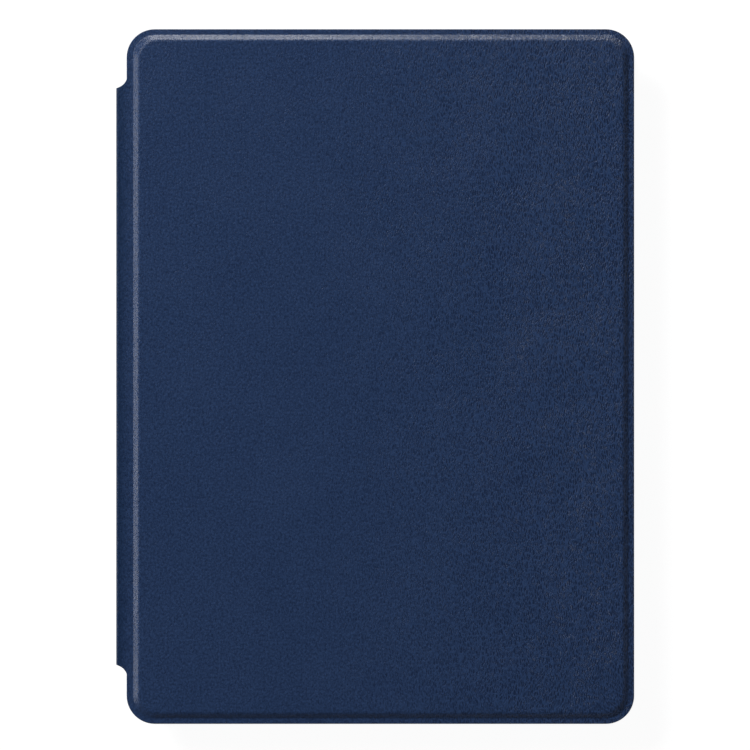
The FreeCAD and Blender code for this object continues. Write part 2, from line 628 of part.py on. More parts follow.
def stadium_y(wide, tall, y0, y1, x, z):
    """Slot-shaped prism along Y, as wide as the socket's mouth."""
    straight = (wide - tall) / 2
    body = slab(x - straight, x + straight, y0, y1, z - tall / 2, z + tall / 2)
    ends = [rod_y(tall / 2, y0, y1, x + dx, z) for dx in sides(straight)]
    return body.fuse(ends).removeSplitter()


def side_openings():
    """Openings in the chassis wall for the charging socket and the power switch."""
    wall_y = DECK_Y / 2
    socket = stadium_y(SOCKET_WIDE + 0.2, SOCKET_TALL + 0.1, wall_y - 4, wall_y + 1, SOCKET_X, SOCKET_Z)
    gap = 0.15
    half_x, half_z = SWITCH_LONG / 2 + gap, SWITCH_TALL / 2 + gap
    switch = slab(SWITCH_X - half_x, SWITCH_X + half_x + SWITCH_TRAVEL,
                  -wall_y - 1, 4 - wall_y, SOCKET_Z - half_z, SOCKET_Z + half_z)
    return [socket, switch]


def inside_walls(z0, z1):
    """Prism over the space inside the chassis walls."""
    return rounded_slab(DECK_X - 2 * DECK_WALL, DECK_Y - 2 * DECK_WALL, DECK_R - DECK_WALL, z0, z1)


def keyboard_deck():
    """Top case of the keyboard: plate with its openings, outer wall and screw bosses."""
    plate = perforated(rounded_wire(DECK_X, DECK_Y, DECK_R, DECK_Z), deck_holes(), DECK_PLATE)
    wall = rounded_slab(DECK_X, DECK_Y, DECK_R, CAVITY_Z, PARTING_Z).cut(inside_walls(CAVITY_Z, PARTING_Z))
    bosses = [tube_up(BOSS_R, CAVITY_Z, BASE_Z, x, y) for x, y in BOSS_PLACES]
    deck = plate.fuse([wall] + bosses)
    bores = [tube_up(SCREW_R + 0.02, CAVITY_Z + 0.3, BASE_Z, x, y) for x, y in BOSS_PLACES]
    outer_edge = [e for e in deck.Edges if on_rim(e, DECK_Z)]
    deck = deck.makeChamfer(0.4, outer_edge)
    return cut_all(deck, bores + side_openings())


def on_rim(edge, z):
    """True for an edge of the chassis's outside at height z."""
    box = edge.BoundBox
    flat = abs(box.ZMin - z) < 0.01 and abs(box.ZMax - z) < 0.01
    reach_x = max(abs(box.XMin), abs(box.XMax)) > DECK_X / 2 - DECK_R + 1.0
    reach_y = max(abs(box.YMin), abs(box.YMax)) > DECK_Y / 2 - 0.5
    near_x = max(abs(box.XMin), abs(box.XMax)) > DECK_X / 2 - 0.5
    return flat and (near_x or (reach_y and (reach_x or box.XLength > DECK_X / 2)))


def keyboard_base():
    """Bottom case of the keyboard, lying against the cover's lining."""
    outer = rounded_slab(DECK_X, DECK_Y, DECK_R, PARTING_Z, FRONT_LINING_Z)
    tools = [inside_walls(PARTING_Z, BASE_Z)] + side_openings()
    for x, y in BOSS_PLACES:
        tools.append(tube_up(SCREW_R + 0.1, BASE_Z, FRONT_LINING_Z, x, y))
        tools.append(tube_up(SINK_R, FRONT_LINING_Z - SINK_DEEP, FRONT_LINING_Z, x, y))
    return cut_all(outer, tools)


def keyboard_screws():
    """Screws through the base into the deck's bosses."""
    screws = []
    seat = FRONT_LINING_Z - SINK_DEEP
    for x, y in BOSS_PLACES:
        head = tube_up(SINK_R - 0.1, seat, FRONT_LINING_Z - 0.05, x, y)
        screws.append(head.fuse(tube_up(SCREW_R, CAVITY_Z + 0.5, seat, x, y)))
    return group(screws)


def key_field(z0, z1, margin):
    """Sheet under all the keys."""
    size_x = KEYS_END_X - KEYS_START_X + 2 * margin
    size_y = ROW_UNITS * KEY_PITCH + 2 * margin - 2 * KEY_GAP
    return rounded_slab(size_x, size_y, 2.0, z0, z1, (KEYS_START_X + KEYS_END_X) / 2)


def support_plate():
    """Steel plate that carries the key mechanisms, with heat-stake holes between the rows."""
    plate = key_field(SUPPORT_Z, SUPPORT_Z + SUPPORT, 0.0)
    stakes = []
    x = KEYS_START_X + FUNCTION_PITCH
    for _ in ROWS[1:]:
        stakes += [tube_up(0.6, SUPPORT_Z, SUPPORT_Z + SUPPORT, x, i * 2 * KEY_PITCH) for i in range(-3, 4)]
        x += KEY_PITCH
    return cut_all(plate, stakes)


def membrane():
    """Printed contact sheet between domes and plate."""
    return key_field(MEMBRANE_Z, SUPPORT_Z, -0.5)


def main_board():
    """Circuit board behind the key plate, with a tongue to the socket, its chips and the battery's connector."""
    z0 = SUPPORT_Z + SUPPORT + 0.1
    top = z0 + 0.8
    edge_x = BOARD_MID_X + BOARD_WIDE / 2
    board = rounded_slab(BOARD_WIDE, BOARD_LONG, 1.5, z0, top, BOARD_MID_X, BOARD_MID_Y)
    board = board.fuse(slab(edge_x - 2, SOCKET_X + SOCKET_WIDE / 2, 101.0, socket_back() - 0.1, z0, top))
    for x, y, wide, long in CHIPS:
        board = board.fuse(slab(x - wide / 2, x + wide / 2, y - long / 2, y + long / 2, top, top + 0.7))
    connector = slab(edge_x - 5.0, edge_x, LEAD_Y - 1.5, LEAD_Y + LEAD_PITCH + 1.5, top, top + 1.0)
    return board.fuse(connector)


def battery_cells():
    """Two flat pouch cells under the palm rest, either side of the touchpad."""
    z0 = CAVITY_Z + 0.4
    return group([rounded_slab(BATTERY_X, BATTERY_Y, 1.5, z0, BASE_Z - 0.3, TOUCHPAD_MID_X, y)
                  for y in sides(BATTERY_MID_Y)])


def battery_lead():
    """Pair of wires from the board's connector to the left cell, and a pair between the two cells."""
    cell_x, cell_y = TOUCHPAD_MID_X - BATTERY_X / 2, BATTERY_MID_Y - BATTERY_Y / 2
    board_x = BOARD_MID_X + BOARD_WIDE / 2
    wire_z = BASE_Z - 0.7
    wires = []
    for shift in (0.0, LEAD_PITCH):
        wires.append(rod_x(LEAD_R, board_x, cell_x, LEAD_Y + shift, wire_z))
        wires.append(rod_y(LEAD_R, -cell_y, cell_y, cell_x + 4.0 + shift, wire_z))
    return group(wires)


def rod_x(radius, x0, x1, y, z):
    """Cylinder along X."""
    return Part.makeCylinder(radius, x1 - x0, V(x0, y, z), V(1, 0, 0))


def socket_back():
    """Where the socket ends inside the chassis."""
    return DECK_Y / 2 - 0.3 - SOCKET_DEEP


def charging_socket():
    """Steel socket shell with its contact tongue, flush with the chassis's left side."""
    y0, y1 = socket_back(), DECK_Y / 2 - 0.3
    shell = stadium_y(SOCKET_WIDE, SOCKET_TALL, y0, y1, SOCKET_X, SOCKET_Z)
    mouth = stadium_y(SOCKET_WIDE - 0.6, SOCKET_TALL - 0.6, y0 + 0.6, y1, SOCKET_X, SOCKET_Z)
    tongue = slab(SOCKET_X - 3.3, SOCKET_X + 3.3, y0 + 0.3, y1 - 1.0, SOCKET_Z - 0.35, SOCKET_Z + 0.35)
    return shell.cut(mouth).fuse(tongue)


def status_lights():
    """Three clear light pipes through the deck."""
    return group([tube_up(LIGHT_R, DECK_Z, CAVITY_Z + 0.8, x, y) for x, y in LIGHT_PLACES])


def screen_bumpers():
    """Rubber pads along the deck's edge that meet the tray's lip when the case is closed."""
    places = [(x, y) for x in (DECK_X / 2 - 2.2, 2.2 - DECK_X / 2) for y in sides(95.0)]
    return group([rounded_slab(2.2, 14.0, 1.0, BUMPER_Z, DECK_Z, x, y) for x, y in places])


def touchpad_plate():
    """Touch surface, level with the deck."""
    return touchpad_opening(DECK_Z + 0.05, CAVITY_Z + 0.05, 0.0)


def touchpad_board():
    """Sensor board glued under the touch surface, with its click switch."""
    z0 = CAVITY_Z + 0.05
    board = rounded_slab(TOUCHPAD_X - 3, TOUCHPAD_Y - 3, 2.0, z0, z0 + 0.8, TOUCHPAD_MID_X)
    click_x = TOUCHPAD_MID_X + TOUCHPAD_X / 2 - 7.0
    return board.fuse(rounded_slab(4.0, 4.0, 0.8, z0 + 0.8, z0 + 1.4, click_x))


def power_switch():
    """Slider in the chassis's right side, with its flange inside the wall."""
    wall_y = -DECK_Y / 2
    half_z = SWITCH_TALL / 2
    knob = slab(SWITCH_X - SWITCH_LONG / 2, SWITCH_X + SWITCH_LONG / 2,
                wall_y - SWITCH_PROUD, wall_y + DECK_WALL + 0.1, SOCKET_Z - half_z, SOCKET_Z + half_z)
    front = [e for e in knob.Edges if e.BoundBox.YMax < wall_y - SWITCH_PROUD + 0.01]
    knob = knob.makeFillet(0.3, front)
    flange = slab(SWITCH_X - SWITCH_LONG / 2 - 0.6, SWITCH_X + SWITCH_LONG / 2 + 0.6,
                  wall_y + DECK_WALL + 0.1, wall_y + DECK_WALL + 0.8, SOCKET_Z - half_z - 0.4, SOCKET_Z + half_z + 0.4)
    return knob.fuse(flange)


# ---------------------------------------------------------------- assembly
def all_nodes():
    """Every sub-part by its node name."""
    nodes = {
        "front_skin": front_skin(),
        "front_shell": front_shell(),
        "front_lining": front_lining(),
        "front_magnets": front_magnets(),
        "back_skin": back_skin(),
        "back_board": back_board(),
        "back_lining": back_lining(),
        "strip_skin": strip_skin(),
        "tray_adhesive": tray_adhesive(),
        "tray_base": tray_base(),
        "tray_frame": tray_frame(),
        "tray_lining": tray_lining(),
        "tray_magnets": tray_magnets(),
        "camera_trim": camera_trim(),
        "hinge_leaves": hinge_leaves(),
        "hinge_pins": hinge_pins(),
        "hinge_screws": hinge_screws(),
        "kickstand_skin": kickstand_skin(),
        "kickstand_board": kickstand_board(),
        "kickstand_lining": kickstand_lining(),
        "kickstand_leaves": kickstand_leaves(),
        "kickstand_screws": kickstand_screws(),
        "kickstand_plates": kickstand_plates(),
        "keyboard_deck": keyboard_deck(),
        "keyboard_base": keyboard_base(),
        "keyboard_screws": keyboard_screws(),
        "support_plate": support_plate(),
        "membrane": membrane(),
        "rubber_domes": rubber_domes(),
        "scissor_links": scissor_links(),
        "main_board": main_board(),
        "battery_cells": battery_cells(),
        "battery_lead": battery_lead(),
        "charging_socket": charging_socket(),
        "status_lights": status_lights(),
        "screen_bumpers": screen_bumpers(),
        "touchpad_plate": touchpad_plate(),
        "touchpad_board": touchpad_board(),
        "power_switch": power_switch(),
    }
    nodes.update(spine_parts())
    nodes.update(key_nodes())
    return nodes


os.makedirs("parts", exist_ok=True)
for node_name, shape in all_nodes().items():
    shape.exportStep("parts/" + node_name + ".step")
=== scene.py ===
import json
import math

import bmesh
import bpy
from mathutils import Matrix, Vector
from mathutils.geometry import delaunay_2d_cdt


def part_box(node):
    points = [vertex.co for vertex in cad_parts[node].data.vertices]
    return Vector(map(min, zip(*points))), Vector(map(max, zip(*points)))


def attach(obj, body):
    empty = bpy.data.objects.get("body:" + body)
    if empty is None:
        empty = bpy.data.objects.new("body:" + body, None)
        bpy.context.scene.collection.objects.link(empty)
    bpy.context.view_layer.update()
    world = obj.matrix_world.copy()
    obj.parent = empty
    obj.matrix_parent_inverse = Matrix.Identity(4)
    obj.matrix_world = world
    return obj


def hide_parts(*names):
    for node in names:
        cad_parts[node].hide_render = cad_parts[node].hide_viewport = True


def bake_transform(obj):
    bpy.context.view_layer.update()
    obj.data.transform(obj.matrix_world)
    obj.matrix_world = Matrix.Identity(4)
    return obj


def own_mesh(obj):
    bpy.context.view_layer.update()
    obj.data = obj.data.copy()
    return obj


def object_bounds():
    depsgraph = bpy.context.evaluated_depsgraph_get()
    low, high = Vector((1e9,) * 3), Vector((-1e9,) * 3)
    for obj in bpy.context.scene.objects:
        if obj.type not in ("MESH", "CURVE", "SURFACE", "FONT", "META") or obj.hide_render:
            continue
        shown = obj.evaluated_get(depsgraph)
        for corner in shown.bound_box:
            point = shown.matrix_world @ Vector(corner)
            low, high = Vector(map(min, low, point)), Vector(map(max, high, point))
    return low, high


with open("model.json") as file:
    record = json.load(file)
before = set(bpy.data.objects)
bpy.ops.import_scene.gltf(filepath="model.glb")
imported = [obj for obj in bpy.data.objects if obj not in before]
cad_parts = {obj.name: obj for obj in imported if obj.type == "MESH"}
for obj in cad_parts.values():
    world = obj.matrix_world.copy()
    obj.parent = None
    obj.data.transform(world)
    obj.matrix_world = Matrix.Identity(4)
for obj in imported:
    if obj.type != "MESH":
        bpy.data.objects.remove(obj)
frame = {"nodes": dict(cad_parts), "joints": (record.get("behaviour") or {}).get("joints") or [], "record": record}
CAD_LO, CAD_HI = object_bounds()
MM = 0.001


def joint_at(name):
    """Where a joint turns, in the row frame."""
    return Vector(next(j for j in frame["joints"] if j["name"] == name)["pos_m"])


# ---------------------------------------------------------------- sizes read from the frame
FRONT_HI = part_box("front_skin")[1]
LINING_LO, LINING_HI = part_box("front_lining")
BACK_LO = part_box("back_skin")[0]
FLAP_LO, FLAP_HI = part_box("kickstand_skin")
STRIP_LO, STRIP_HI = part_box("strip_skin")
BACK_LINING_LO, BACK_LINING_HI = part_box("back_lining")
SPINE_LO, SPINE_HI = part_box("spine_skin")
STIFF_LO, STIFF_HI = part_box("spine_stiffener")
SHELL_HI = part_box("front_shell")[1]
TRIM_LO, TRIM_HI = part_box("camera_trim")
LEAF_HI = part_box("hinge_leaves")[1]
UPPER, LOWER = joint_at("cover_crease_fold"), joint_at("back_crease_fold")
PIVOT = joint_at("back_stand_swing")

SKIN = SPINE_HI.x - SPINE_LO.x                      # leather's thickness
LINING = LINING_HI.z - LINING_LO.z
FLANGE = LINING_HI.x - SHELL_HI.x - 0.3 * MM        # width of the flat flange
FRONT_Z = LINING_HI.z + SKIN                        # outer face of the front's flange
BACK_Z = STRIP_LO.z                                 # outer face of the back's flange
RISE = FRONT_HI.z - FRONT_Z
EDGE_X, EDGE_Y = LINING_HI.x, LINING_HI.y
SPINE_Y = SPINE_HI.y
MID_Z = (UPPER.z + LOWER.z) / 2

BEVEL = 2.9 * MM                                    # width of the bevel seen from above
BEVEL_TURN = 1.2 * MM                               # how much tighter a corner is at the bevel's top
COVER_R = 10.5 * MM
NOTCH = 3.2 * MM                                    # length of the concave notches beside the spine
INNER_FLANGE = 0.9 * MM                             # flange along the flap's crease and free edge
SMALL_R, FLAP_R = 2.5 * MM, 4.0 * MM
CREASE_R = 1.1 * MM                                 # leather's outer radius where it turns into the spine


# ---------------------------------------------------------------- node helpers
class Nodes:
    """Short way to write a material's node tree."""

    def __init__(self, name):
        self.material = bpy.data.materials.new(name)
        self.material.use_nodes = True
        self.tree = self.material.node_tree
        self.tree.nodes.clear()
        self.surface = self.add("ShaderNodeBsdfPrincipled")
        self.output = self.add("ShaderNodeOutputMaterial")
        self.link(self.surface.outputs["BSDF"], self.output.inputs["Surface"])
        self.where = self.add("ShaderNodeTexCoord").outputs["Object"]

    def add(self, kind, **settings):
        node = self.tree.nodes.new(kind)
        for key, value in settings.items():
            setattr(node, key, value)
        return node

    def link(self, source, target):
        if isinstance(source, bpy.types.NodeSocket):
            self.tree.links.new(source, target)
        else:
            target.default_value = source

    def stretch(self, sx, sy, sz, vector=None):
        node = self.add("ShaderNodeMapping")
        self.link(vector or self.where, node.inputs["Vector"])
        node.inputs["Scale"].default_value = (sx, sy, sz)
        return node.outputs["Vector"]

    def noise(self, scale, detail=2.0, rough=0.5, vector=None):
        node = self.add("ShaderNodeTexNoise")
        self.link(vector if vector is not None else self.where, node.inputs["Vector"])
        node.inputs["Scale"].default_value = scale
        node.inputs["Detail"].default_value = detail
        node.inputs["Roughness"].default_value = rough
        return node.outputs["Fac"]

    def voronoi(self, scale, feature="F1", vector=None):
        node = self.add("ShaderNodeTexVoronoi", feature=feature)
        self.link(vector if vector is not None else self.where, node.inputs["Vector"])
        node.inputs["Scale"].default_value = scale
        return node.outputs["Distance"]

    def math(self, operation, a, b=0.0, c=0.0, clamp=False):
        node = self.add("ShaderNodeMath", operation=operation, use_clamp=clamp)
        for socket, value in zip(node.inputs, (a, b, c)):
            self.link(value, socket)
        return node.outputs[0]

    def remap(self, value, low, high, to_low, to_high):
        node = self.add("ShaderNodeMapRange")
        self.link(value, node.inputs["Value"])
        ends = {"From Min": low, "From Max": high, "To Min": to_low, "To Max": to_high}
        for key, number in ends.items():
            self.link(number, node.inputs[key])
        return node.outputs["Result"]

    def mix(self, factor, a, b):
        node = self.add("ShaderNodeMix", data_type="RGBA")
        self.link(factor, node.inputs[0])
        self.link(a, node.inputs[6])
        self.link(b, node.inputs[7])
        return node.outputs[2]

    def axis(self, letter):
        node = self.add("ShaderNodeSeparateXYZ")
        self.link(self.where, node.inputs[0])
        return node.outputs[letter]

    def bump(self, height, depth, strength=1.0):
        node = self.add("ShaderNodeBump")
        self.link(height, node.inputs["Height"])
        node.inputs["Distance"].default_value = depth
        self.link(strength, node.inputs["Strength"])
        self.link(node.outputs["Normal"], self.surface.inputs["Normal"])

    def set(self, **inputs):
        names = {"color": "Base Color", "rough": "Roughness", "metal": "Metallic",
                 "specular": "Specular IOR Level", "sheen": "Sheen Weight", "sheen_rough": "Sheen Roughness",
                 "sheen_tint": "Sheen Tint", "transmission": "Transmission Weight", "coat": "Coat Weight",
                 "coat_rough": "Coat Roughness", "ior": "IOR", "subsurface": "Subsurface Weight"}
        for key, value in inputs.items():
            self.link(value, self.surface.inputs[names[key]])
        return self


def rgba(r, g, b):
    return (r, g, b, 1.0)


# ---------------------------------------------------------------- materials
def leather_material():
    """Navy grained leather: fine pebbles, soft patches, short creases along Y that deepen towards +X, painted
    shade and highlight in the grain, and painted shade along the spine.
    """
    calm, creased = 0.25, 1.00                      # depth of the creases near the spine and at the free edge, which also sets the strength of the painted shade and highlight in the grain
    n = Nodes("leather")
    n.where = n.add("ShaderNodeAttribute", attribute_name="rest").outputs["Vector"]
    across = n.remap(n.axis("X"), -0.03, 0.08, calm, creased)
    pebbles = n.remap(n.noise(1150.0, 1.0, 0.5), 0.33, 0.67, 0.0, 1.0)
    cells = n.remap(n.voronoi(950.0, "DISTANCE_TO_EDGE"), 0.0, 0.25, 0.0, 1.0)
    patches = n.noise(38.0, 4.0, 0.6)

    drift = n.add("ShaderNodeVectorMath", operation="MULTIPLY_ADD")
    n.link(n.noise(30.0, 2.0), drift.inputs[0])
    drift.inputs[1].default_value = (0.010, 0.0, 0.0)
    n.link(n.where, drift.inputs[2])
    folds = n.voronoi(1.0, "DISTANCE_TO_EDGE", n.stretch(1700.0, 480.0, 900.0, drift.outputs[0]))
    uneven = n.remap(n.noise(500.0, 1.0), 0.36, 0.60, 0.72, 1.0)
    folds = n.math("MULTIPLY", n.remap(folds, 0.0, 0.24, 1.05, 0.0), uneven)

    height = n.math("MULTIPLY", pebbles, n.remap(across, calm, creased, 0.36, 0.18))
    height = n.math("MULTIPLY_ADD", cells, 0.20, height)
    height = n.math("ADD", height, n.math("MULTIPLY", folds, across))
    n.bump(height, 0.00009, 1.0)

    # Painted shade and highlight: the colour follows the bump's height, lighter on the ridges and darker in the
    # hollows, partly the leather's own uneven tone. With the creases this contrast grows towards +X, where it
    # stands in for light glancing across that side.
    level = n.math("SUBTRACT", height, n.math("MULTIPLY", across, 0.375))
    grain = n.math("MULTIPLY_ADD", level, 1.35, 0.05)
    tone = n.math("ADD", n.math("MULTIPLY", patches, 0.2), grain, clamp=True)
    color = n.mix(tone, rgba(0.0052, 0.0158, 0.0500), rgba(0.0200, 0.0460, 0.1200))
    # Painted shade: the spine ramp darkens the colour by up to 60 % towards the spine's outer edge, where the
    # leather turns down away from the light. The same ramp lowers the specular below.
    spine_shade = n.add("ShaderNodeAttribute", attribute_name="spine_shade").outputs["Fac"]
    color = n.mix(n.math("MULTIPLY", spine_shade, 0.6), color, rgba(0.0040, 0.0130, 0.0350))
    rough = n.remap(n.math("ADD", patches, n.math("MULTIPLY", pebbles, 0.3)), 0.3, 1.0, 0.27, 0.37)
    shine = n.remap(spine_shade, 0.0, 1.0, 0.42, 0.16)
    n.set(color=color, rough=rough, specular=shine,
          sheen=0.05, sheen_rough=0.45, sheen_tint=rgba(0.45, 0.55, 0.8))
    return n.material


def microfibre_material():
    """Dark brushed microfibre."""
    n = Nodes("microfibre")
    n.where = n.add("ShaderNodeAttribute", attribute_name="rest").outputs["Vector"]
    nap = n.noise(1.0, 4.0, 0.65, n.stretch(2600.0, 900.0, 2600.0))
    swirl = n.noise(60.0, 3.0, 0.5)
    fuzz = n.noise(7000.0, 2.0, 0.7)
    n.bump(n.math("ADD", nap, n.math("MULTIPLY", fuzz, 0.6)), 0.00012, 0.9)
    tone = n.math("ADD", n.math("MULTIPLY", swirl, 0.7), n.math("MULTIPLY", nap, 0.45), clamp=True)
    color = n.mix(tone, rgba(0.040, 0.044, 0.056), rgba(0.085, 0.090, 0.108))
    n.set(color=color, rough=0.95, specular=0.15,
          sheen=0.65, sheen_rough=0.35, sheen_tint=rgba(0.55, 0.6, 0.7))
    return n.material


def plastic_material(name, dark, light, rough, grain=3800.0, depth=0.00003):
    """Moulded plastic with a spark-eroded surface."""
    n = Nodes(name)
    spark = n.noise(grain, 3.0, 0.6)
    patches = n.noise(30.0, 3.0, 0.5)
    n.bump(spark, depth, 0.8)
    n.set(color=n.mix(n.remap(patches, 0.35, 0.65, 0.0, 1.0), dark, light),
          rough=n.remap(patches, 0.3, 0.7, rough - 0.05, rough + 0.06))
    return n.material


def metal_material(name, color, rough, brushed):
    """Brushed or plated metal."""
    n = Nodes(name)
    lines = n.noise(1.0, 4.0, 0.6, n.stretch(9000.0, brushed, 9000.0))
    haze = n.noise(160.0, 3.0, 0.6)
    n.bump(lines, 0.000006, 0.5)
    tinted = n.mix(haze, rgba(*[c * 0.82 for c in color]), rgba(*color))
    n.set(color=tinted, metal=1.0,
          rough=n.remap(n.math("ADD", lines, haze), 0.6, 1.4, rough - 0.06, rough + 0.1))
    return n.material


def board_material():
    """Grey-brown pressed board with fibres."""
    n = Nodes("board")
    fibres = n.noise(1.0, 5.0, 0.7, n.stretch(900.0, 2600.0, 6000.0))
    flecks = n.remap(n.voronoi(900.0), 0.0, 0.12, 1.0, 0.0)
    n.bump(fibres, 0.00008, 0.7)
    base = n.mix(fibres, rgba(0.24, 0.20, 0.15), rgba(0.46, 0.41, 0.33))
    n.set(color=n.mix(n.math("MULTIPLY", flecks, 0.4, clamp=True), base, rgba(0.12, 0.10, 0.08)),
          rough=0.9, specular=0.2)
    return n.material


def circuit_material():
    """Green solder mask with fine traces and gold pads."""
    n = Nodes("circuit_board")
    cells = n.add("ShaderNodeTexVoronoi", distance="CHEBYCHEV", feature="F1")
    n.link(n.where, cells.inputs["Vector"])
    cells.inputs["Scale"].default_value = 420.0
    traces = n.math("LESS_THAN", n.math("PINGPONG", cells.outputs["Distance"], 0.18), 0.05)
    pads = n.math("LESS_THAN", n.voronoi(520.0), 0.10)
    masked = n.mix(traces, rgba(0.008, 0.055, 0.022), rgba(0.020, 0.120, 0.050))
    n.bump(traces, 0.00003, 0.8)
    n.set(color=n.mix(pads, masked, rgba(0.75, 0.56, 0.22)), metal=n.math("MULTIPLY", pads, 0.9),
          rough=n.remap(traces, 0.0, 1.0, 0.30, 0.38), coat=0.3, coat_rough=0.2)
    return n.material


def foil_material():
    """Matt laminated foil with soft dents."""
    n = Nodes("battery_foil")
    dents = n.noise(180.0, 3.0, 0.5)
    n.bump(n.math("ADD", dents, n.math("MULTIPLY", n.noise(2400.0, 2.0), 0.2)), 0.0003, 0.5)
    n.set(color=n.mix(dents, rgba(0.52, 0.53, 0.54), rgba(0.68, 0.68, 0.67)), metal=0.85,
          rough=n.remap(dents, 0.3, 0.7, 0.34, 0.46))
    return n.material


def film_material():
    """Clear printed film with silver contact lines."""
    n = Nodes("film")
    lines = n.math("LESS_THAN", n.math("PINGPONG", n.math("MULTIPLY", n.axis("X"), 520.0), 0.5), 0.16)
    n.bump(lines, 0.00002, 0.6)
    n.set(color=n.mix(lines, rgba(0.52, 0.60, 0.57), rgba(0.74, 0.75, 0.75)), rough=0.28,
          metal=n.math("MULTIPLY", lines, 0.7), coat=0.4)
    return n.material


def soft_material(name, dark, light, rough, translucent=0.0):
    """Moulded rubber or silicone with a dusty bloom."""
    n = Nodes(name)
    bloom = n.noise(240.0, 4.0, 0.6)
    n.bump(n.noise(4200.0, 2.0), 0.00002, 0.6)
    n.set(color=n.mix(bloom, dark, light), rough=n.remap(bloom, 0.3, 0.7, rough - 0.06, rough + 0.08),
          specular=0.35, subsurface=translucent)
    return n.material


def clear_material():
    """Frosted clear light pipe."""
    n = Nodes("light_pipe")
    haze = n.noise(1800.0, 3.0, 0.5)
    n.bump(haze, 0.00001, 0.4)
    n.set(color=n.mix(haze, rgba(0.72, 0.76, 0.78), rgba(0.90, 0.92, 0.93)),
          rough=n.remap(haze, 0.3, 0.7, 0.12, 0.3), transmission=0.6, ior=1.49)
    return n.material


def adhesive_material():
    """Yellowish adhesive film with small trapped bubbles."""
    n = Nodes("adhesive")
    bubbles = n.remap(n.voronoi(700.0), 0.0, 0.25, 1.0, 0.0)
    n.bump(bubbles, 0.00002, 0.6)
    n.set(color=n.mix(bubbles, rgba(0.62, 0.58, 0.47), rgba(0.74, 0.72, 0.64)), rough=0.35, coat=0.3)
    return n.material


# name: darker and lighter colour, roughness, then grain and its depth where they are not the usual ones
PLASTICS = {
    "tray_plastic": (rgba(0.021, 0.034, 0.070), rgba(0.028, 0.044, 0.086), 0.50),
    "frame_plastic": (rgba(0.018, 0.029, 0.060), rgba(0.024, 0.037, 0.074), 0.58),
    "chassis_plastic": (rgba(0.024, 0.038, 0.076), rgba(0.031, 0.048, 0.092), 0.46),
    "keycap_plastic": (rgba(0.018, 0.026, 0.052), rgba(0.025, 0.035, 0.066), 0.42, 5200.0),
    "link_plastic": (rgba(0.66, 0.66, 0.63), rgba(0.78, 0.78, 0.75), 0.45),
    "black_plastic": (rgba(0.008, 0.009, 0.011), rgba(0.014, 0.015, 0.018), 0.30, 6000.0, 0.00001),
    "touch_surface": (rgba(0.030, 0.043, 0.080), rgba(0.036, 0.051, 0.094), 0.34, 6500.0, 0.00001),
}
MATERIALS = {
    "leather": leather_material(),
    "microfibre": microfibre_material(),
    "board": board_material(),
    "steel": metal_material("steel", (0.56, 0.57, 0.58), 0.34, 260.0),
    "plated_steel": metal_material("plated_steel", (0.72, 0.71, 0.69), 0.22, 4000.0),
    "silicone": soft_material("silicone", rgba(0.66, 0.66, 0.63), rgba(0.82, 0.82, 0.79), 0.5, 0.3),
    "rubber": soft_material("rubber", rgba(0.014, 0.015, 0.017), rgba(0.030, 0.031, 0.033), 0.68),
    "wire": soft_material("wire", rgba(0.26, 0.012, 0.010), rgba(0.36, 0.020, 0.016), 0.45),
    "film": film_material(),
    "circuit_board": circuit_material(),
    "battery_foil": foil_material(),
    "light_pipe": clear_material(),
    "adhesive": adhesive_material(),
}
for name, look in PLASTICS.items():
    MATERIALS[name] = plastic_material(name, *look)


def legend_material():
    """Printed off-white legend, slightly uneven."""
    n = Nodes("legend_print")
    ink = n.noise(2600.0, 3.0, 0.6)
    n.bump(ink, 0.000004, 0.5)
    n.set(color=n.mix(ink, rgba(0.52, 0.55, 0.60), rgba(0.70, 0.73, 0.78)),
          rough=n.remap(ink, 0.3, 0.7, 0.42, 0.55))
    return n.material


# ---------------------------------------------------------------- outlines
TURNS = 14                                          # steps round each corner of an outline


def rounded(x0, x1, half_y, r0, r1, turns=TURNS):
    """Rectangle outline, anticlockwise from the middle of its +X side, with radius r0 at x0 and r1 at x1."""
    points = [(x1, 0.0)]
    corners = [(x1 - r1, half_y - r1, r1, 0), (x0 + r0, half_y - r0, r0, 90),
               (x0 + r0, r0 - half_y, r0, 180), (x1 - r1, r1 - half_y, r1, 270)]
    for cx, cy, r, start in corners:
        for i in range(turns + 1):
            a = math.radians(start + 90.0 * i / turns)
            points.append((cx + r * math.cos(a), cy + r * math.sin(a)))
    return points


def split_long(loop, longest):
    """Loop with its long edges divided evenly."""
    points = []
    for i, (x, y) in enumerate(loop):
        nx, ny = loop[(i + 1) % len(loop)]
        parts = max(1, math.ceil(math.hypot(nx - x, ny - y) / longest))
        points += [(x + (nx - x) * k / parts, y + (ny - y) * k / parts) for k in range(parts)]
    return points


def rise_at(t):
    """Height of the bevel, 0 to 1, at t from 0 to 1 across it: a straight slope, tight at the foot and soft
    at the top."""
    foot, top = 0.10, 0.45
    straight = 1 - (foot + top) / 2
    if t < foot:
        return t * t / (2 * foot) / straight
    if t > 1 - top:
        return 1 - (1 - t) ** 2 / (2 * top) / straight
    return (t - foot / 2) / straight


RING_PITCH, FIELD_PITCH = 6 * MM, 9 * MM            # spacing of points along the bevel and over the panel
FIELD_EDGE = 8 * MM                                 # stretch beside the bevel without loose points


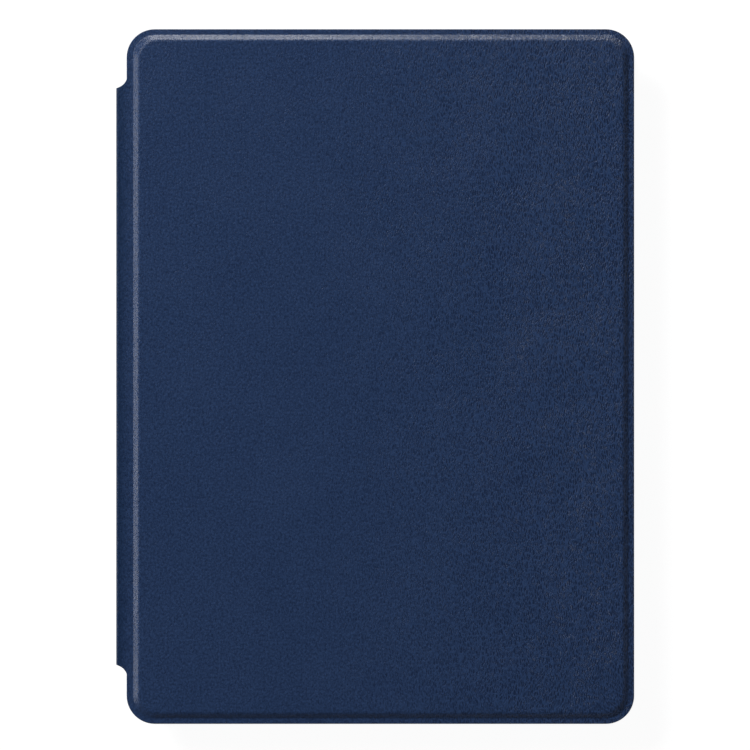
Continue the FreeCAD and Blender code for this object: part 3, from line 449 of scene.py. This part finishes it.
def panel_rings(panel, steps=12):
    """Rings of a raised panel from its foot to its top, each a list of (x, y, height)."""
    x0, x1, half_y, r0, r1, flange0, flange1 = panel
    foot_r = (r0 - flange0, r1 - flange1)
    foot = rounded(x0 + flange0, x1 - flange1, half_y - FLANGE, *foot_r)
    top_r = [max(0.4 * MM, r - BEVEL_TURN) for r in foot_r]
    top = rounded(x0 + flange0 + BEVEL, x1 - flange1 - BEVEL, half_y - FLANGE - BEVEL, *top_r)
    pairs = []
    for i, (p, q) in enumerate(zip(foot, top)):
        p2, q2 = foot[(i + 1) % len(foot)], top[(i + 1) % len(top)]
        parts = max(1, math.ceil(math.hypot(p2[0] - p[0], p2[1] - p[1]) / RING_PITCH))
        for k in range(parts):
            u = k / parts
            pairs.append([(p[j] + (p2[j] - p[j]) * u, q[j] + (q2[j] - q[j]) * u) for j in (0, 1)])
    rings = []
    for step in range(steps + 1):
        t = step / steps
        height = RISE * rise_at(t)
        rings.append([(x[0] + (x[1] - x[0]) * t, y[0] + (y[1] - y[0]) * t, height) for x, y in pairs])
    return rings


def panel_field(panel, skip=None):
    """Loose points over the flat top of a raised panel."""
    x0, x1, half_y, _, _, flange0, flange1 = panel
    lo_x, hi_x = x0 + flange0 + BEVEL, x1 - flange1 - BEVEL
    hi_y = half_y - FLANGE - BEVEL
    nx, ny = int((hi_x - lo_x) / FIELD_PITCH), int(2 * hi_y / FIELD_PITCH)
    points = []
    for i in range(1, nx):
        for j in range(1, ny):
            x, y = lo_x + (hi_x - lo_x) * i / nx, -hi_y + 2 * hi_y * j / ny
            near_edge = min(x - lo_x, hi_x - x, hi_y - abs(y)) < FIELD_EDGE
            if not near_edge and not (skip and inside(skip, x, y)):
                points.append((x, y, RISE))
    return points


# ---------------------------------------------------------------- sheets
class Path:
    """Section of a bent sheet: a line of (x, z) corners, each with its own round, walked by distance."""

    def __init__(self, corners, side):
        self.side = side
        self.points = [Vector(corners[0][:2])]
        for i in range(1, len(corners) - 1):
            a, b, c = (Vector(corners[k][:2]) for k in (i - 1, i, i + 1))
            self.round(a, b, c, corners[i][2])
        self.points.append(Vector(corners[-1][:2]))
        self.length = [0.0]
        for p, q in zip(self.points, self.points[1:]):
            self.length.append(self.length[-1] + (q - p).length)

    def round(self, a, b, c, radius):
        u, v = (a - b).normalized(), (c - b).normalized()
        half = math.acos(max(-1.0, min(1.0, u.dot(v)))) / 2
        reach = radius / math.tan(half)
        centre = b + (u + v).normalized() * (radius / math.sin(half))
        start, end = b + u * reach - centre, b + v * reach - centre
        sweep = math.pi - 2 * half
        turn = 1 if start.x * end.y - start.y * end.x > 0 else -1
        steps = max(4, int(math.degrees(sweep) / 7))
        for k in range(steps + 1):
            angle = turn * sweep * k / steps
            c0, s0 = math.cos(angle), math.sin(angle)
            self.points.append(centre + Vector((start.x * c0 - start.y * s0, start.x * s0 + start.y * c0)))

    def at(self, s):
        """Point and outward normal at distance s."""
        i = 0
        while i < len(self.length) - 2 and s > self.length[i + 1]:
            i += 1
        p, q = self.points[i], self.points[i + 1]
        t = (s - self.length[i]) / max(1e-12, self.length[i + 1] - self.length[i])
        along = (self.tangent(i) * (1 - t) + self.tangent(i + 1) * t).normalized()
        return p + (q - p) * t, Vector((-along.y, along.x)) * self.side

    def tangent(self, i):
        before = self.points[i] - self.points[i - 1] if i > 0 else self.points[1] - self.points[0]
        after = self.points[i + 1] - self.points[i] if i + 1 < len(self.points) else before
        return (before.normalized() + after.normalized()).normalized()

    def where_x(self, x):
        """Distance at which the path first reaches x, walking towards -X."""
        for i, (p, q) in enumerate(zip(self.points, self.points[1:])):
            if p.x >= x >= q.x and p.x - q.x > 1e-12:
                part = (p.x - x) / (p.x - q.x)
                return self.length[i] + part * (self.length[i + 1] - self.length[i])
        return self.length[-1]


def new_object(name, verts, faces, material, smooth=True):
    mesh = bpy.data.meshes.new(name)
    mesh.from_pydata([tuple(v) for v in verts], [], faces)
    mesh.validate()
    mesh.materials.append(material)
    if smooth:
        mesh.polygons.foreach_set("use_smooth", [True] * len(mesh.polygons))
    obj = bpy.data.objects.new(name, mesh)
    bpy.context.scene.collection.objects.link(obj)
    return obj


def inside(loop, x, y):
    """Whether a point lies inside a closed loop."""
    hit = False
    for i, a in enumerate(loop):
        ax, ay, bx, by = a[0], a[1], loop[i - 1][0], loop[i - 1][1]
        if (ay > y) != (by > y) and x < ax + (y - ay) / (by - ay) * (bx - ax):
            hit = not hit
    return hit


def flat_mesh(outline, holes, rings, loose):
    """Triangles over an outline with holes: points as (x, y, height) and faces. Rings and loose points may
    carry a height."""
    points, heights, edges = [], [], []
    for loop in [outline] + holes + rings:
        start = len(points)
        for p in loop:
            points.append(Vector(p[:2]))
            heights.append(p[2] if len(p) > 2 else 0.0)
        edges += [(start + i, start + (i + 1) % len(loop)) for i in range(len(loop))]
    for p in loose:
        points.append(Vector(p[:2]))
        heights.append(p[2])
    made, _, faces, source, _, _ = delaunay_2d_cdt([p / MM for p in points], edges, [], 0, 1e-5)
    h = [heights[src[0]] if src else 0.0 for src in source]
    solid = []
    for f in faces:
        cx, cy = (sum(made[i][k] for i in f) / len(f) * MM for k in (0, 1))
        if inside(outline, cx, cy) and not any(inside(hole, cx, cy) for hole in holes):
            solid.append(list(f))
    return [(p.x * MM, p.y * MM, z) for p, z in zip(made, h)], solid


def thick_sheet(name, flat, faces, place, material, sharp_round, seam=None, spine_shade=None):
    """Closed sheet: every flat point placed on its outer and inner face, and walls along the free edges.
    Free edges are rounded by sharp_round, except where seam(x, y) says that another sheet carries on.
    The last argument, when given, is a function of x that tells how strongly painted shade darkens the sheet, from
    0 to 1."""
    used = sorted({i for f in faces for i in f})
    index = {old: new for new, old in enumerate(used)}
    faces = [[index[i] for i in f] for f in faces]
    outer, inner = zip(*(place(*flat[i]) for i in used))
    count = len(used)
    ways = dict.fromkeys((a, b) for f in faces for a, b in zip(f, f[1:] + f[:1]))
    sides = [(a, b) for a, b in ways if (b, a) not in ways]
    mesh_faces = faces + [[i + count for i in reversed(f)] for f in faces]
    mesh_faces += [[b, a, a + count, b + count] for a, b in sides]
    obj = new_object(name, outer + inner, mesh_faces, material)
    flat_rest = [c for v in outer + inner for c in v]
    obj.data.attributes.new("rest", "FLOAT_VECTOR", "POINT").data.foreach_set("vector", flat_rest)
    # The painted shade is stored per point, the same on the outer and the inner face.
    if spine_shade:
        spine_shades = [spine_shade(flat[i][0]) for i in used]
        obj.data.attributes.new("spine_shade", "FLOAT", "POINT").data.foreach_set("value", spine_shades + spine_shades)
    bm = bmesh.new()
    bm.from_mesh(obj.data)
    bmesh.ops.recalc_face_normals(bm, faces=bm.faces)
    weight = bm.edges.layers.float.new("bevel_weight_edge")
    free = {frozenset((a + k, b + k)) for a, b in sides for k in (0, count)
            if not (seam and seam(*flat[used[a]][:2]) and seam(*flat[used[b]][:2]))}
    for e in bm.edges:
        if frozenset((e.verts[0].index, e.verts[1].index)) in free:
            e[weight] = 1.0
    bm.to_mesh(obj.data)
    bm.free()
    rounding = obj.modifiers.new("edges", "BEVEL")
    rounding.limit_method = "WEIGHT"
    rounding.width = sharp_round
    rounding.segments = 3
    obj.modifiers.new("normals", "WEIGHTED_NORMAL").keep_sharp = False
    return obj


# ---------------------------------------------------------------- leather and linings of the folio
def notch_y(x, inset):
    """Half length of the tab at x, along the concave arc beside the spine."""
    p, r = Vector((-EDGE_X, SPINE_Y + NOTCH)), Vector((SPINE_LO.x, SPINE_Y))
    q = Vector((p.x + 0.29 * (r.x - p.x), p.y - 0.56 * NOTCH))          # a point between them, for the hollow
    ax, ay, bx, by = q.x - p.x, q.y - p.y, r.x - p.x, r.y - p.y
    d = 2 * (ax * by - ay * bx)
    ux = (by * (ax * ax + ay * ay) - ay * (bx * bx + by * by)) / d
    uy = (ax * (bx * bx + by * by) - bx * (ax * ax + ay * ay)) / d
    dx = x - p.x - ux
    return p.y + uy - math.sqrt(max(0.0, ux * ux + uy * uy - dx * dx)) - inset


def split_open(line, longest):
    """Open line with its long edges divided evenly."""
    points = [line[0]]
    for (x, y), (nx, ny) in zip(line, line[1:]):
        parts = max(1, math.ceil(math.hypot(nx - x, ny - y) / longest))
        points += [(x + (nx - x) * k / parts, y + (ny - y) * k / parts) for k in range(1, parts + 1)]
    return points


OUTLINE_PITCH, TAB_PITCH = 8 * MM, 0.4 * MM         # spacing of points along the outline and across the tab
SPINE_STEPS = 4                                     # rows from the last turn to the spine's middle


def folio_pattern(path, x_end, inset):
    """Flat pattern of a sheet that runs from x_end to the tab and up or down the spine: outline and rows.
    Left of the cover's edge its x is the distance walked along the path, so the pattern unrolls the turn into the
    spine."""
    edge = EDGE_X - inset
    tab = -edge
    start = path.where_x(tab)
    origin = tab + start
    stations = [start + k * TAB_PITCH for k in range(1, 7)]
    stations = [s for s in stations if path.at(s)[0].x > SPINE_LO.x + 1.3 * MM]
    stations += [s for s in path.length if s > stations[-1] + 0.02 * MM]
    turned, end = stations[-2:]
    stations = stations[:-1] + [turned + (end - turned) * k / SPINE_STEPS for k in range(1, SPINE_STEPS + 1)]
    rows = []
    for s in stations:
        x = path.at(s)[0].x
        low_x = min(path.at(t)[0].x for t in [start] + [u for u in stations if u <= s])
        on_tab = s < stations[-1 - SPINE_STEPS]
        y = notch_y(max(low_x, SPINE_LO.x), inset) if on_tab else SPINE_Y - inset
        rows.append((origin - s, max(SPINE_Y - inset, y)))
    corner = rounded(-edge, edge, EDGE_Y - inset, COVER_R - inset, COVER_R - inset)
    upper = [p for p in corner if p[1] > 0 and p[0] <= x_end + 1e-9]
    if x_end < edge:
        dx = x_end + edge - (COVER_R - inset)
        y = EDGE_Y - COVER_R + math.sqrt(max(0.0, (COVER_R - inset) ** 2 - min(0.0, dx) ** 2))
        upper = [(x_end, 0.0), (x_end, y)] + [p for p in upper if p[0] < x_end - 1e-6]
    else:
        upper = [corner[0]] + upper
    tab_y = SPINE_Y + NOTCH - inset
    upper = split_open(upper + [(-edge, tab_y)], OUTLINE_PITCH)
    upper += rows
    lower = [(x, -y) for x, y in reversed(upper) if y > 0]
    columns = [(SPINE_Y - 4 * MM) * j / 12 for j in range(-12, 13)]
    loose = [(x, y, 0.0) for x, _ in [(-edge, tab_y)] + rows[:-1] for y in columns]
    end_x = rows[-1][0]
    outline = upper + [(end_x, y) for y in reversed(columns)] + lower
    return outline, loose, end_x


def folio_sheet(name, path, x_end, inset, thickness, rings, loose, material, rounding):
    """Sheet over a folio pattern, up to the middle of the spine, where its twin carries on."""
    outline, rows, end_x = folio_pattern(path, x_end, inset)
    origin = path.where_x(-(EDGE_X - inset)) - (EDGE_X - inset)

    def place(x, y, h):
        p, out = path.at(origin - x)
        far, near = p + out * h, p + out * (h - thickness)
        return (far.x, y, far.y), (near.x, y, near.y)

    points, faces = flat_mesh(outline, [], rings, rows + loose)
    # The last argument is painted shade: it darkens the sheet from 0.4 mm inside the cover's edge to 3.2 mm beyond
    # it along the spine, where the leather turns down away from the light.
    return thick_sheet(name, points, faces, place, material, rounding, lambda x, y: x < end_x + 1e-7,
                       lambda x: max(0.0, min(1.0, (-EDGE_X + 0.4 * MM - x) / (3.6 * MM))))


# raised panels: ends in X, half width, corner radii and flange at the -X and the +X end
FRONT_PANEL = (-EDGE_X, EDGE_X, EDGE_Y, COVER_R, COVER_R, FLANGE + 0.4 * MM, FLANGE)
BACK_PANEL = (BACK_LO.x, EDGE_X, EDGE_Y, SMALL_R, COVER_R, INNER_FLANGE, FLANGE)
FLAP_PANEL = (FLAP_LO.x, FLAP_HI.x, EDGE_Y, FLAP_R, SMALL_R, INNER_FLANGE, INNER_FLANGE)
LINING_INSET = 0.3 * MM
CUT_ROUND, LINING_ROUND = 0.28 * MM, 0.12 * MM      # rounding of cut edges

front_path = Path([(EDGE_X, FRONT_Z), (SPINE_LO.x, FRONT_Z, CREASE_R), (SPINE_LO.x, MID_Z)], -1)
front_leather = folio_sheet("front_leather", front_path, EDGE_X, 0.0, SKIN, panel_rings(FRONT_PANEL),
                            panel_field(FRONT_PANEL), MATERIALS["leather"], CUT_ROUND)
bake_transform(front_leather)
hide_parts("front_skin", "spine_skin")

strip_path = Path([(STRIP_HI.x, BACK_Z), (SPINE_LO.x, BACK_Z, CREASE_R), (SPINE_LO.x, MID_Z)], 1)
strip_leather = folio_sheet("strip_leather", strip_path, STRIP_HI.x, 0.0, SKIN, [], [],
                            MATERIALS["leather"], CUT_ROUND)
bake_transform(strip_leather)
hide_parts("strip_skin")

inner_x, flat_x = STIFF_LO.x, STIFF_HI.x            # lining's outer face at the creases and between
front_lining_path = Path([(EDGE_X - LINING_INSET, LINING_HI.z), (inner_x, LINING_HI.z, 0.45 * MM),
                          (inner_x, STIFF_HI.z + 0.55 * MM, 0.45 * MM),
                          (flat_x, STIFF_HI.z + 0.05 * MM, 0.3 * MM), (flat_x, MID_Z)], -1)
front_lining = folio_sheet("front_microfibre", front_lining_path, EDGE_X - LINING_INSET, LINING_INSET, LINING,
                           [], [], MATERIALS["microfibre"], LINING_ROUND)
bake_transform(front_lining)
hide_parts("front_lining", "spine_lining")

strip_lining_path = Path([(STRIP_HI.x, BACK_LINING_LO.z), (inner_x, BACK_LINING_LO.z, 0.45 * MM),
                          (inner_x, STIFF_LO.z - 0.55 * MM, 0.45 * MM),
                          (flat_x, STIFF_LO.z - 0.05 * MM, 0.3 * MM), (flat_x, MID_Z)], 1)
strip_lining = folio_sheet("strip_microfibre", strip_lining_path, STRIP_HI.x, LINING_INSET, LINING, [], [],
                           MATERIALS["microfibre"], LINING_ROUND)
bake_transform(strip_lining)


# ---------------------------------------------------------------- back cover with the flap
def window(x0, x1, y0, y1, r):
    """Rounded rectangle hole."""
    cx, cy = (x0 + x1) / 2, (y0 + y1) / 2
    hx, hy = (x1 - x0) / 2, (y1 - y0) / 2
    return [(cx + x, cy + y) for x, y in rounded(-hx, hx, hy, r, r, 8)[1:]]


def back_outline(inset):
    """Outline of the fixed panel and the flap with the crease between them."""
    flap = rounded(FLAP_LO.x + inset, FLAP_HI.x, EDGE_Y - inset, FLAP_R - inset, SMALL_R)
    back = rounded(BACK_LO.x, EDGE_X - inset, EDGE_Y - inset, SMALL_R, COVER_R - inset)
    two_corners = 2 * (TURNS + 1)
    upper = back[:1 + two_corners] + flap[1:1 + two_corners]
    return split_long(upper + [(x, -y) for x, y in reversed(upper) if y > 0], OUTLINE_PITCH)


def cut_at(loop, columns):
    """Loop with a point added wherever it crosses one of the columns, so that it can bend there."""
    points = []
    for i, p in enumerate(loop):
        q = loop[(i + 1) % len(loop)]
        points.append(p)
        low, high = sorted((p[0], q[0]))
        for x in sorted((c for c in columns if low + 1e-7 < c < high - 1e-7), reverse=p[0] > q[0]):
            points.append((x, p[1] + (q[1] - p[1]) * (x - p[0]) / (q[0] - p[0])) + tuple(p[2:]))
    return points


def back_sheet(name, z_outer, way, thickness, inset, holes, rings, loose, material, rounding):
    """Sheet over the whole back cover, bending at the flap's crease."""
    steps = 13
    columns = [FLAP_HI.x + (BACK_LO.x - FLAP_HI.x) * k / steps for k in range(steps + 1)]
    holes = [cut_at(hole, columns) for hole in holes]
    rows = []
    for x in columns:
        for j in range(-15, 16):
            y = j * 8.2 * MM
            if not any(inside(hole, x, y) for hole in holes):
                rows.append((x, y, 0.0))

    def place(x, y, h):
        return (x, y, z_outer + way * h), (x, y, z_outer + way * (h - thickness))

    points, faces = flat_mesh(cut_at(back_outline(inset), columns), holes, rings, rows + loose)
    sheet = thick_sheet(name, points, faces, place, material, rounding)
    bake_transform(sheet)
    return sheet


LEAF_LONG = 24 * MM                                 # a hinge's length along Y
LEAF_REACH = 16.1 * MM                              # from the pivot to the end of a window in the lining
BARREL_REACH = 1.15 * MM                            # the same in the leather
TRIM_RIM = (TRIM_HI.x - TRIM_LO.x) / 2              # half width of the camera trim
TRIM_WALL = TRIM_RIM - 1.05 * MM                    # the same without its rim
CLEAR_OF_TRIM = 4 * MM                              # no loose points closer than this


def trim_hole(half, radius):
    """Rounded square hole round the middle of the camera trim."""
    middle = (TRIM_LO + TRIM_HI) / 2
    return window(middle.x - half, middle.x + half, middle.y - half, middle.y + half, radius)


def hinge_windows(reach, gap, radius):
    """Windows for the two hinges, with a reach to both sides of the pivot and a gap beyond them in Y."""
    half = LEAF_LONG / 2
    middles = (half - LEAF_HI.y, LEAF_HI.y - half)
    return [window(PIVOT.x - reach, PIVOT.x + reach, y - half - gap, y + half + gap, radius) for y in middles]


rim_hole = [(x, y, RISE) for x, y in trim_hole(TRIM_RIM, 10 * MM)]
wall_hole = trim_hole(TRIM_WALL, 8.9 * MM)
back_leather = back_sheet("back_leather", BACK_Z, -1, SKIN, 0.0,
                          hinge_windows(BARREL_REACH, 0.3 * MM, 0.6 * MM) + [rim_hole],
                          panel_rings(BACK_PANEL) + panel_rings(FLAP_PANEL),
                          panel_field(BACK_PANEL, trim_hole(TRIM_RIM + CLEAR_OF_TRIM, 12 * MM))
                          + panel_field(FLAP_PANEL), MATERIALS["leather"], 0.22 * MM)
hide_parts("back_skin", "kickstand_skin")

back_lining = back_sheet("back_microfibre", BACK_LINING_LO.z, -1, LINING, LINING_INSET,
                         hinge_windows(LEAF_REACH, 0.1 * MM, 0.4 * MM) + [wall_hole],
                         [], [], MATERIALS["microfibre"], 0.1 * MM)
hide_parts("back_lining", "kickstand_lining")

TRAY_LINING_LO, TRAY_LINING_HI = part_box("tray_lining")


def tray_place(x, y, h):
    return (x, y, TRAY_LINING_HI.z), (x, y, TRAY_LINING_LO.z)


tray_r = 10 * MM
tray_loop = rounded(TRAY_LINING_LO.x, TRAY_LINING_HI.x, TRAY_LINING_HI.y, tray_r, tray_r)
tray_outline = split_long(tray_loop, 12 * MM)
tray_lining = thick_sheet("tray_microfibre", *flat_mesh(tray_outline, [wall_hole], [], []), tray_place,
                          MATERIALS["microfibre"], 0.06 * MM)
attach(tray_lining, "tray")
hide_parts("tray_lining")


# ---------------------------------------------------------------- CAD parts that stay on show
SLOT_OF = {part["node"]: part["material_slot"] for part in frame["record"]["subparts"]}
KEY_NODES = [node for node in frame["nodes"] if node.endswith(("_key", "_keys")) or node == "space_bar"]
ROUNDING = {                                        # width of the rounded edges in mm
    "tray_base": 0.12, "tray_frame": 0.22, "keyboard_base": 0.15, "keyboard_deck": 0.12,
    "touchpad_plate": 0.10, "screen_bumpers": 0.25, "camera_trim": 0.20, "battery_cells": 0.35,
    "power_switch": 0.10, "hinge_leaves": 0.05, "kickstand_leaves": 0.05, "main_board": 0.05}
ROUNDING.update({node: 0.08 for node in KEY_NODES})
for node, obj in frame["nodes"].items():
    if obj.hide_render or node in ("rubber_domes", "scissor_links"):
        continue
    obj.data.materials.clear()
    obj.data.materials.append(MATERIALS[SLOT_OF[node]])
    if node in ROUNDING:
        weld = obj.modifiers.new("weld", "WELD")
        weld.merge_threshold = 0.002 * MM
        bevel = obj.modifiers.new("edges", "BEVEL")
        bevel.width = ROUNDING[node] * MM
        bevel.segments = 2
        bevel.limit_method = "ANGLE"
        bevel.angle_limit = math.radians(40)
        obj.modifiers.new("normals", "WEIGHTED_NORMAL").keep_sharp = False


# ---------------------------------------------------------------- key legends
def key_centres(node):
    """Centres and sizes of a node's keys, as (x, y, size_x, size_y), from left (+Y) to right."""
    mesh = frame["nodes"][node].data
    spans = []
    for polygon in mesh.polygons:
        ys = [mesh.vertices[i].co.y for i in polygon.vertices]
        spans.append((min(ys), max(ys)))
    spans.sort()
    merged = [list(spans[0])]
    for lo, hi in spans[1:]:
        if lo <= merged[-1][1] + 0.05 * MM:
            merged[-1][1] = max(merged[-1][1], hi)
        else:
            merged.append([lo, hi])
    lo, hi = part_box(node)
    return [((lo.x + hi.x) / 2, (a + b) / 2, hi.x - lo.x, b - a) for a, b in reversed(merged)]


LEGENDS = {
    "escape_key": ["esc"],
    "function_keys": ["F%d" % (i + 1) for i in range(12)] + ["del"],
    "number_keys": list("`1234567890-="),
    "backspace_key": ["back"],
    "tab_key": ["tab"],
    "top_letter_keys": list("QWERTYUIOP[]\\"),
    "caps_lock_key": ["caps"],
    "home_letter_keys": list("ASDFGHJKL;'"),
    "return_key": ["enter"],
    "left_shift_key": ["shift"],
    "bottom_letter_keys": list("ZXCVBNM,./"),
    "right_shift_key": ["shift"],
    "modifier_keys": ["fn", "ctrl", "alt", "cmd", "cmd", "alt"],
}
ARROWS = {"arrow_left_key": (0, -1), "arrow_right_key": (0, 1),         # (up, right)
          "arrow_up_key": (1, 0), "arrow_down_key": (-1, 0)}
LEGEND = legend_material()
TO_KEY = Matrix(((0, -1, 0, 0), (-1, 0, 0, 0), (0, 0, -1, 0), (0, 0, 0, 1)))   # text X to -Y, text Y to -X


def text_mesh(text, size):
    """Letters as a thin solid, lying in X and Y round the origin."""
    curve = bpy.data.curves.new("legend", "FONT")
    curve.body = text
    curve.size = size
    curve.extrude = 0.012 * MM
    curve.resolution_u = 3
    curve.align_x, curve.align_y = "CENTER", "CENTER"
    holder = bpy.data.objects.new("legend", curve)
    bpy.context.scene.collection.objects.link(holder)
    bpy.context.view_layer.update()
    mesh = bpy.data.meshes.new_from_object(holder.evaluated_get(bpy.context.evaluated_depsgraph_get()))
    bpy.data.objects.remove(holder)
    return mesh


def arrow_mesh(up, right, size):
    """Small solid triangle pointing up, down, left or right as the keyboard is read."""
    tip, base = Vector((right, up)) * size * 0.5, Vector((-right, -up)) * size * 0.4
    side = Vector((-up, right)) * size * 0.5
    corners = [tip, base + side, base - side]
    deep = 0.012 * MM
    verts = [(c.x, c.y, deep) for c in corners] + [(c.x, c.y, -deep) for c in corners]
    mesh = bpy.data.meshes.new("arrow")
    mesh.from_pydata(verts, [], [(0, 1, 2), (5, 4, 3), (0, 3, 4, 1), (1, 4, 5, 2), (2, 5, 3, 0)])
    return mesh


def legend_for(node, parts):
    """One object with all the legends of a node's keys: parts is a list of (mesh, x, y)."""
    face_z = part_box(node)[0].z
    bm = bmesh.new()
    for mesh, x, y in parts:
        mesh.transform(Matrix.Translation((x, y, face_z - 0.006 * MM)) @ TO_KEY)
        bm.from_mesh(mesh)
    bmesh.ops.remove_doubles(bm, verts=bm.verts, dist=0.001 * MM)
    bmesh.ops.recalc_face_normals(bm, faces=bm.faces)
    mesh = bpy.data.meshes.new(node + "_legends")
    bm.to_mesh(mesh)
    bm.free()
    mesh.materials.clear()
    mesh.materials.append(LEGEND)
    obj = bpy.data.objects.new(node + "_legends", mesh)
    bpy.context.scene.collection.objects.link(obj)
    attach(obj, node)


def legend_size(text, key_depth):
    """Letter height: large for one letter, small for a word and smaller on the shallow keys."""
    if len(text) == 1:
        return 4.6 * MM
    return (2.7 if key_depth > 10 * MM else 2.4) * MM


for node, texts in LEGENDS.items():
    legend_for(node, [(text_mesh(text, legend_size(text, depth)), x, y)
                      for text, (x, y, depth, _) in zip(texts, key_centres(node))])
for node, (up, right) in ARROWS.items():
    x, y = key_centres(node)[0][:2]
    legend_for(node, [(arrow_mesh(up, right, 2.2 * MM), x, y)])


# ---------------------------------------------------------------- domes and links
DOME = [(1.90, 0.0), (1.82, 0.15), (1.66, 0.24), (1.50, 0.55),          # radius and height in mm, up from
        (1.18, 1.15), (1.02, 1.24), (1.00, 1.66), (0.90, 1.75)]         # the skirt to the plunger
MEMBRANE_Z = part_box("rubber_domes")[1].z            # face of the membrane, on which domes and links stand


def dome_object(name, keys):
    """Silicone domes with a skirt and a plunger, one under each key."""
    verts, faces = [], []
    around = 20
    for x, y, size_x, _ in keys:
        scale = min(1.0, (size_x / MM - 2.2) / 7.0) * MM
        base = len(verts)
        for r, h in DOME:
            for k in range(around):
                a = 2 * math.pi * k / around
                verts.append((x + r * scale * math.cos(a), y + r * scale * math.sin(a), MEMBRANE_Z - h * MM))
        for ring in range(len(DOME) - 1):
            for k in range(around):
                a, b = base + ring * around + k, base + ring * around + (k + 1) % around
                faces.append((b, a, a + around, b + around))
        faces.append(tuple(base + k for k in range(around)))
        faces.append(tuple(base + (len(DOME) - 1) * around + k for k in reversed(range(around))))
    return new_object(name, verts, faces, MATERIALS["silicone"])


def links_object(name, keys):
    """The scissor links that lie under the given keys."""
    mesh = frame["nodes"]["scissor_links"].data
    verts, faces, index = [], [], {}
    for polygon in mesh.polygons:
        px, py, _ = polygon.center
        if any(abs(px - x) < size_x / 2 and abs(py - y) < size_y / 2 for x, y, size_x, size_y in keys):
            for i in polygon.vertices:
                if i not in index:
                    index[i] = len(verts)
                    verts.append(mesh.vertices[i].co)
            faces.append([index[i] for i in polygon.vertices])
    return new_object(name, verts, faces, MATERIALS["link_plastic"], smooth=False)


for node in KEY_NODES:
    keys = key_centres(node)
    for obj, stood_for, keep in ((dome_object(node + "_domes", keys), "rubber_domes", 0.43),
                                 (links_object(node + "_links", keys), "scissor_links", 0.45)):
        obj.modifiers.new("normals", "WEIGHTED_NORMAL").keep_sharp = False
        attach(obj, "front_cover")
        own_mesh(obj)
        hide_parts(stood_for)


# ---------------------------------------------------------------- stage, light and camera
def floor_material():
    """Pale floor, bright to the camera and dimmer to the case, clear when it is seen from below."""
    n = Nodes("floor")
    n.set(color=rgba(0.14, 0.14, 0.14), rough=0.9, specular=0.0)
    n.surface.inputs["Emission Color"].default_value = (1, 1, 1, 1)
    seen = n.add("ShaderNodeLightPath").outputs["Is Camera Ray"]
    n.link(n.remap(seen, 0.0, 1.0, 0.55, 0.95), n.surface.inputs["Emission Strength"])
    sides = n.add("ShaderNodeMixShader")
    n.link(n.add("ShaderNodeNewGeometry").outputs["Backfacing"], sides.inputs[0])
    n.link(n.surface.outputs["BSDF"], sides.inputs[1])
    n.link(n.add("ShaderNodeBsdfTransparent").outputs["BSDF"], sides.inputs[2])
    n.link(sides.outputs["Shader"], n.output.inputs["Surface"])
    return n.material


floor = new_object("floor", [(-6, -6, 0), (6, -6, 0), (6, 6, 0), (-6, 6, 0)], [[0, 1, 2, 3]],
                   floor_material(), smooth=False)
floor.location.z = CAD_LO.z - 0.25 * MM             # just clear of the case

scene = bpy.context.scene
scene.view_settings.view_transform = "Standard"
world = bpy.data.worlds.new("studio")
world.use_nodes = True
sky = world.node_tree.nodes["Background"]
sky.inputs["Color"].default_value = (0.86, 0.90, 1.0, 1)
ray = world.node_tree.nodes.new("ShaderNodeLightPath")
level = world.node_tree.nodes.new("ShaderNodeMapRange")
level.inputs["To Min"].default_value, level.inputs["To Max"].default_value = 0.14, 0.80
world.node_tree.links.new(ray.outputs["Is Camera Ray"], level.inputs["Value"])
world.node_tree.links.new(level.outputs["Result"], sky.inputs["Strength"])
scene.world = world


def softbox(name, place, target, size_x, size_y, power):
    light = bpy.data.lights.new(name, "AREA")
    light.shape = "RECTANGLE"
    light.size, light.size_y, light.energy = size_x, size_y, power
    obj = bpy.data.objects.new(name, light)
    obj.location = place
    obj.rotation_euler = (Vector(target) - Vector(place)).to_track_quat("-Z", "Y").to_euler()
    obj.visible_camera = False
    scene.collection.objects.link(obj)
    return obj


softbox("key_light", (-1.1, 1.1, 1.3), (0, 0, 0), 0.8, 0.8, 47).visible_glossy = False
for name, place, wide, tall, power in (("far_light", (-0.24, 2.0, 0.74), 1.2, 0.66, 33),
                                       ("left_light", (-2.0, 0.0, 0.74), 1.3, 0.66, 14),
                                       ("corner_light", (-1.03, 1.03, 1.74), 1.0, 0.5, 7)):
    softbox(name, place, (0, 0, 0), wide, tall, power).visible_diffuse = False

camera_data = bpy.data.cameras.new("camera")
camera_data.lens, camera_data.sensor_width = 200, 36
camera = bpy.data.objects.new("camera", camera_data)
FRAME_WIDE = 278.2 * MM                             # width of the view at the front's height
reach = FRAME_WIDE * camera_data.lens / camera_data.sensor_width
camera.location = (-2.0 * MM, 0.57 * MM, FRONT_HI.z + reach)
camera_data.clip_end = 20
scene.collection.objects.link(camera)
scene.camera = camera
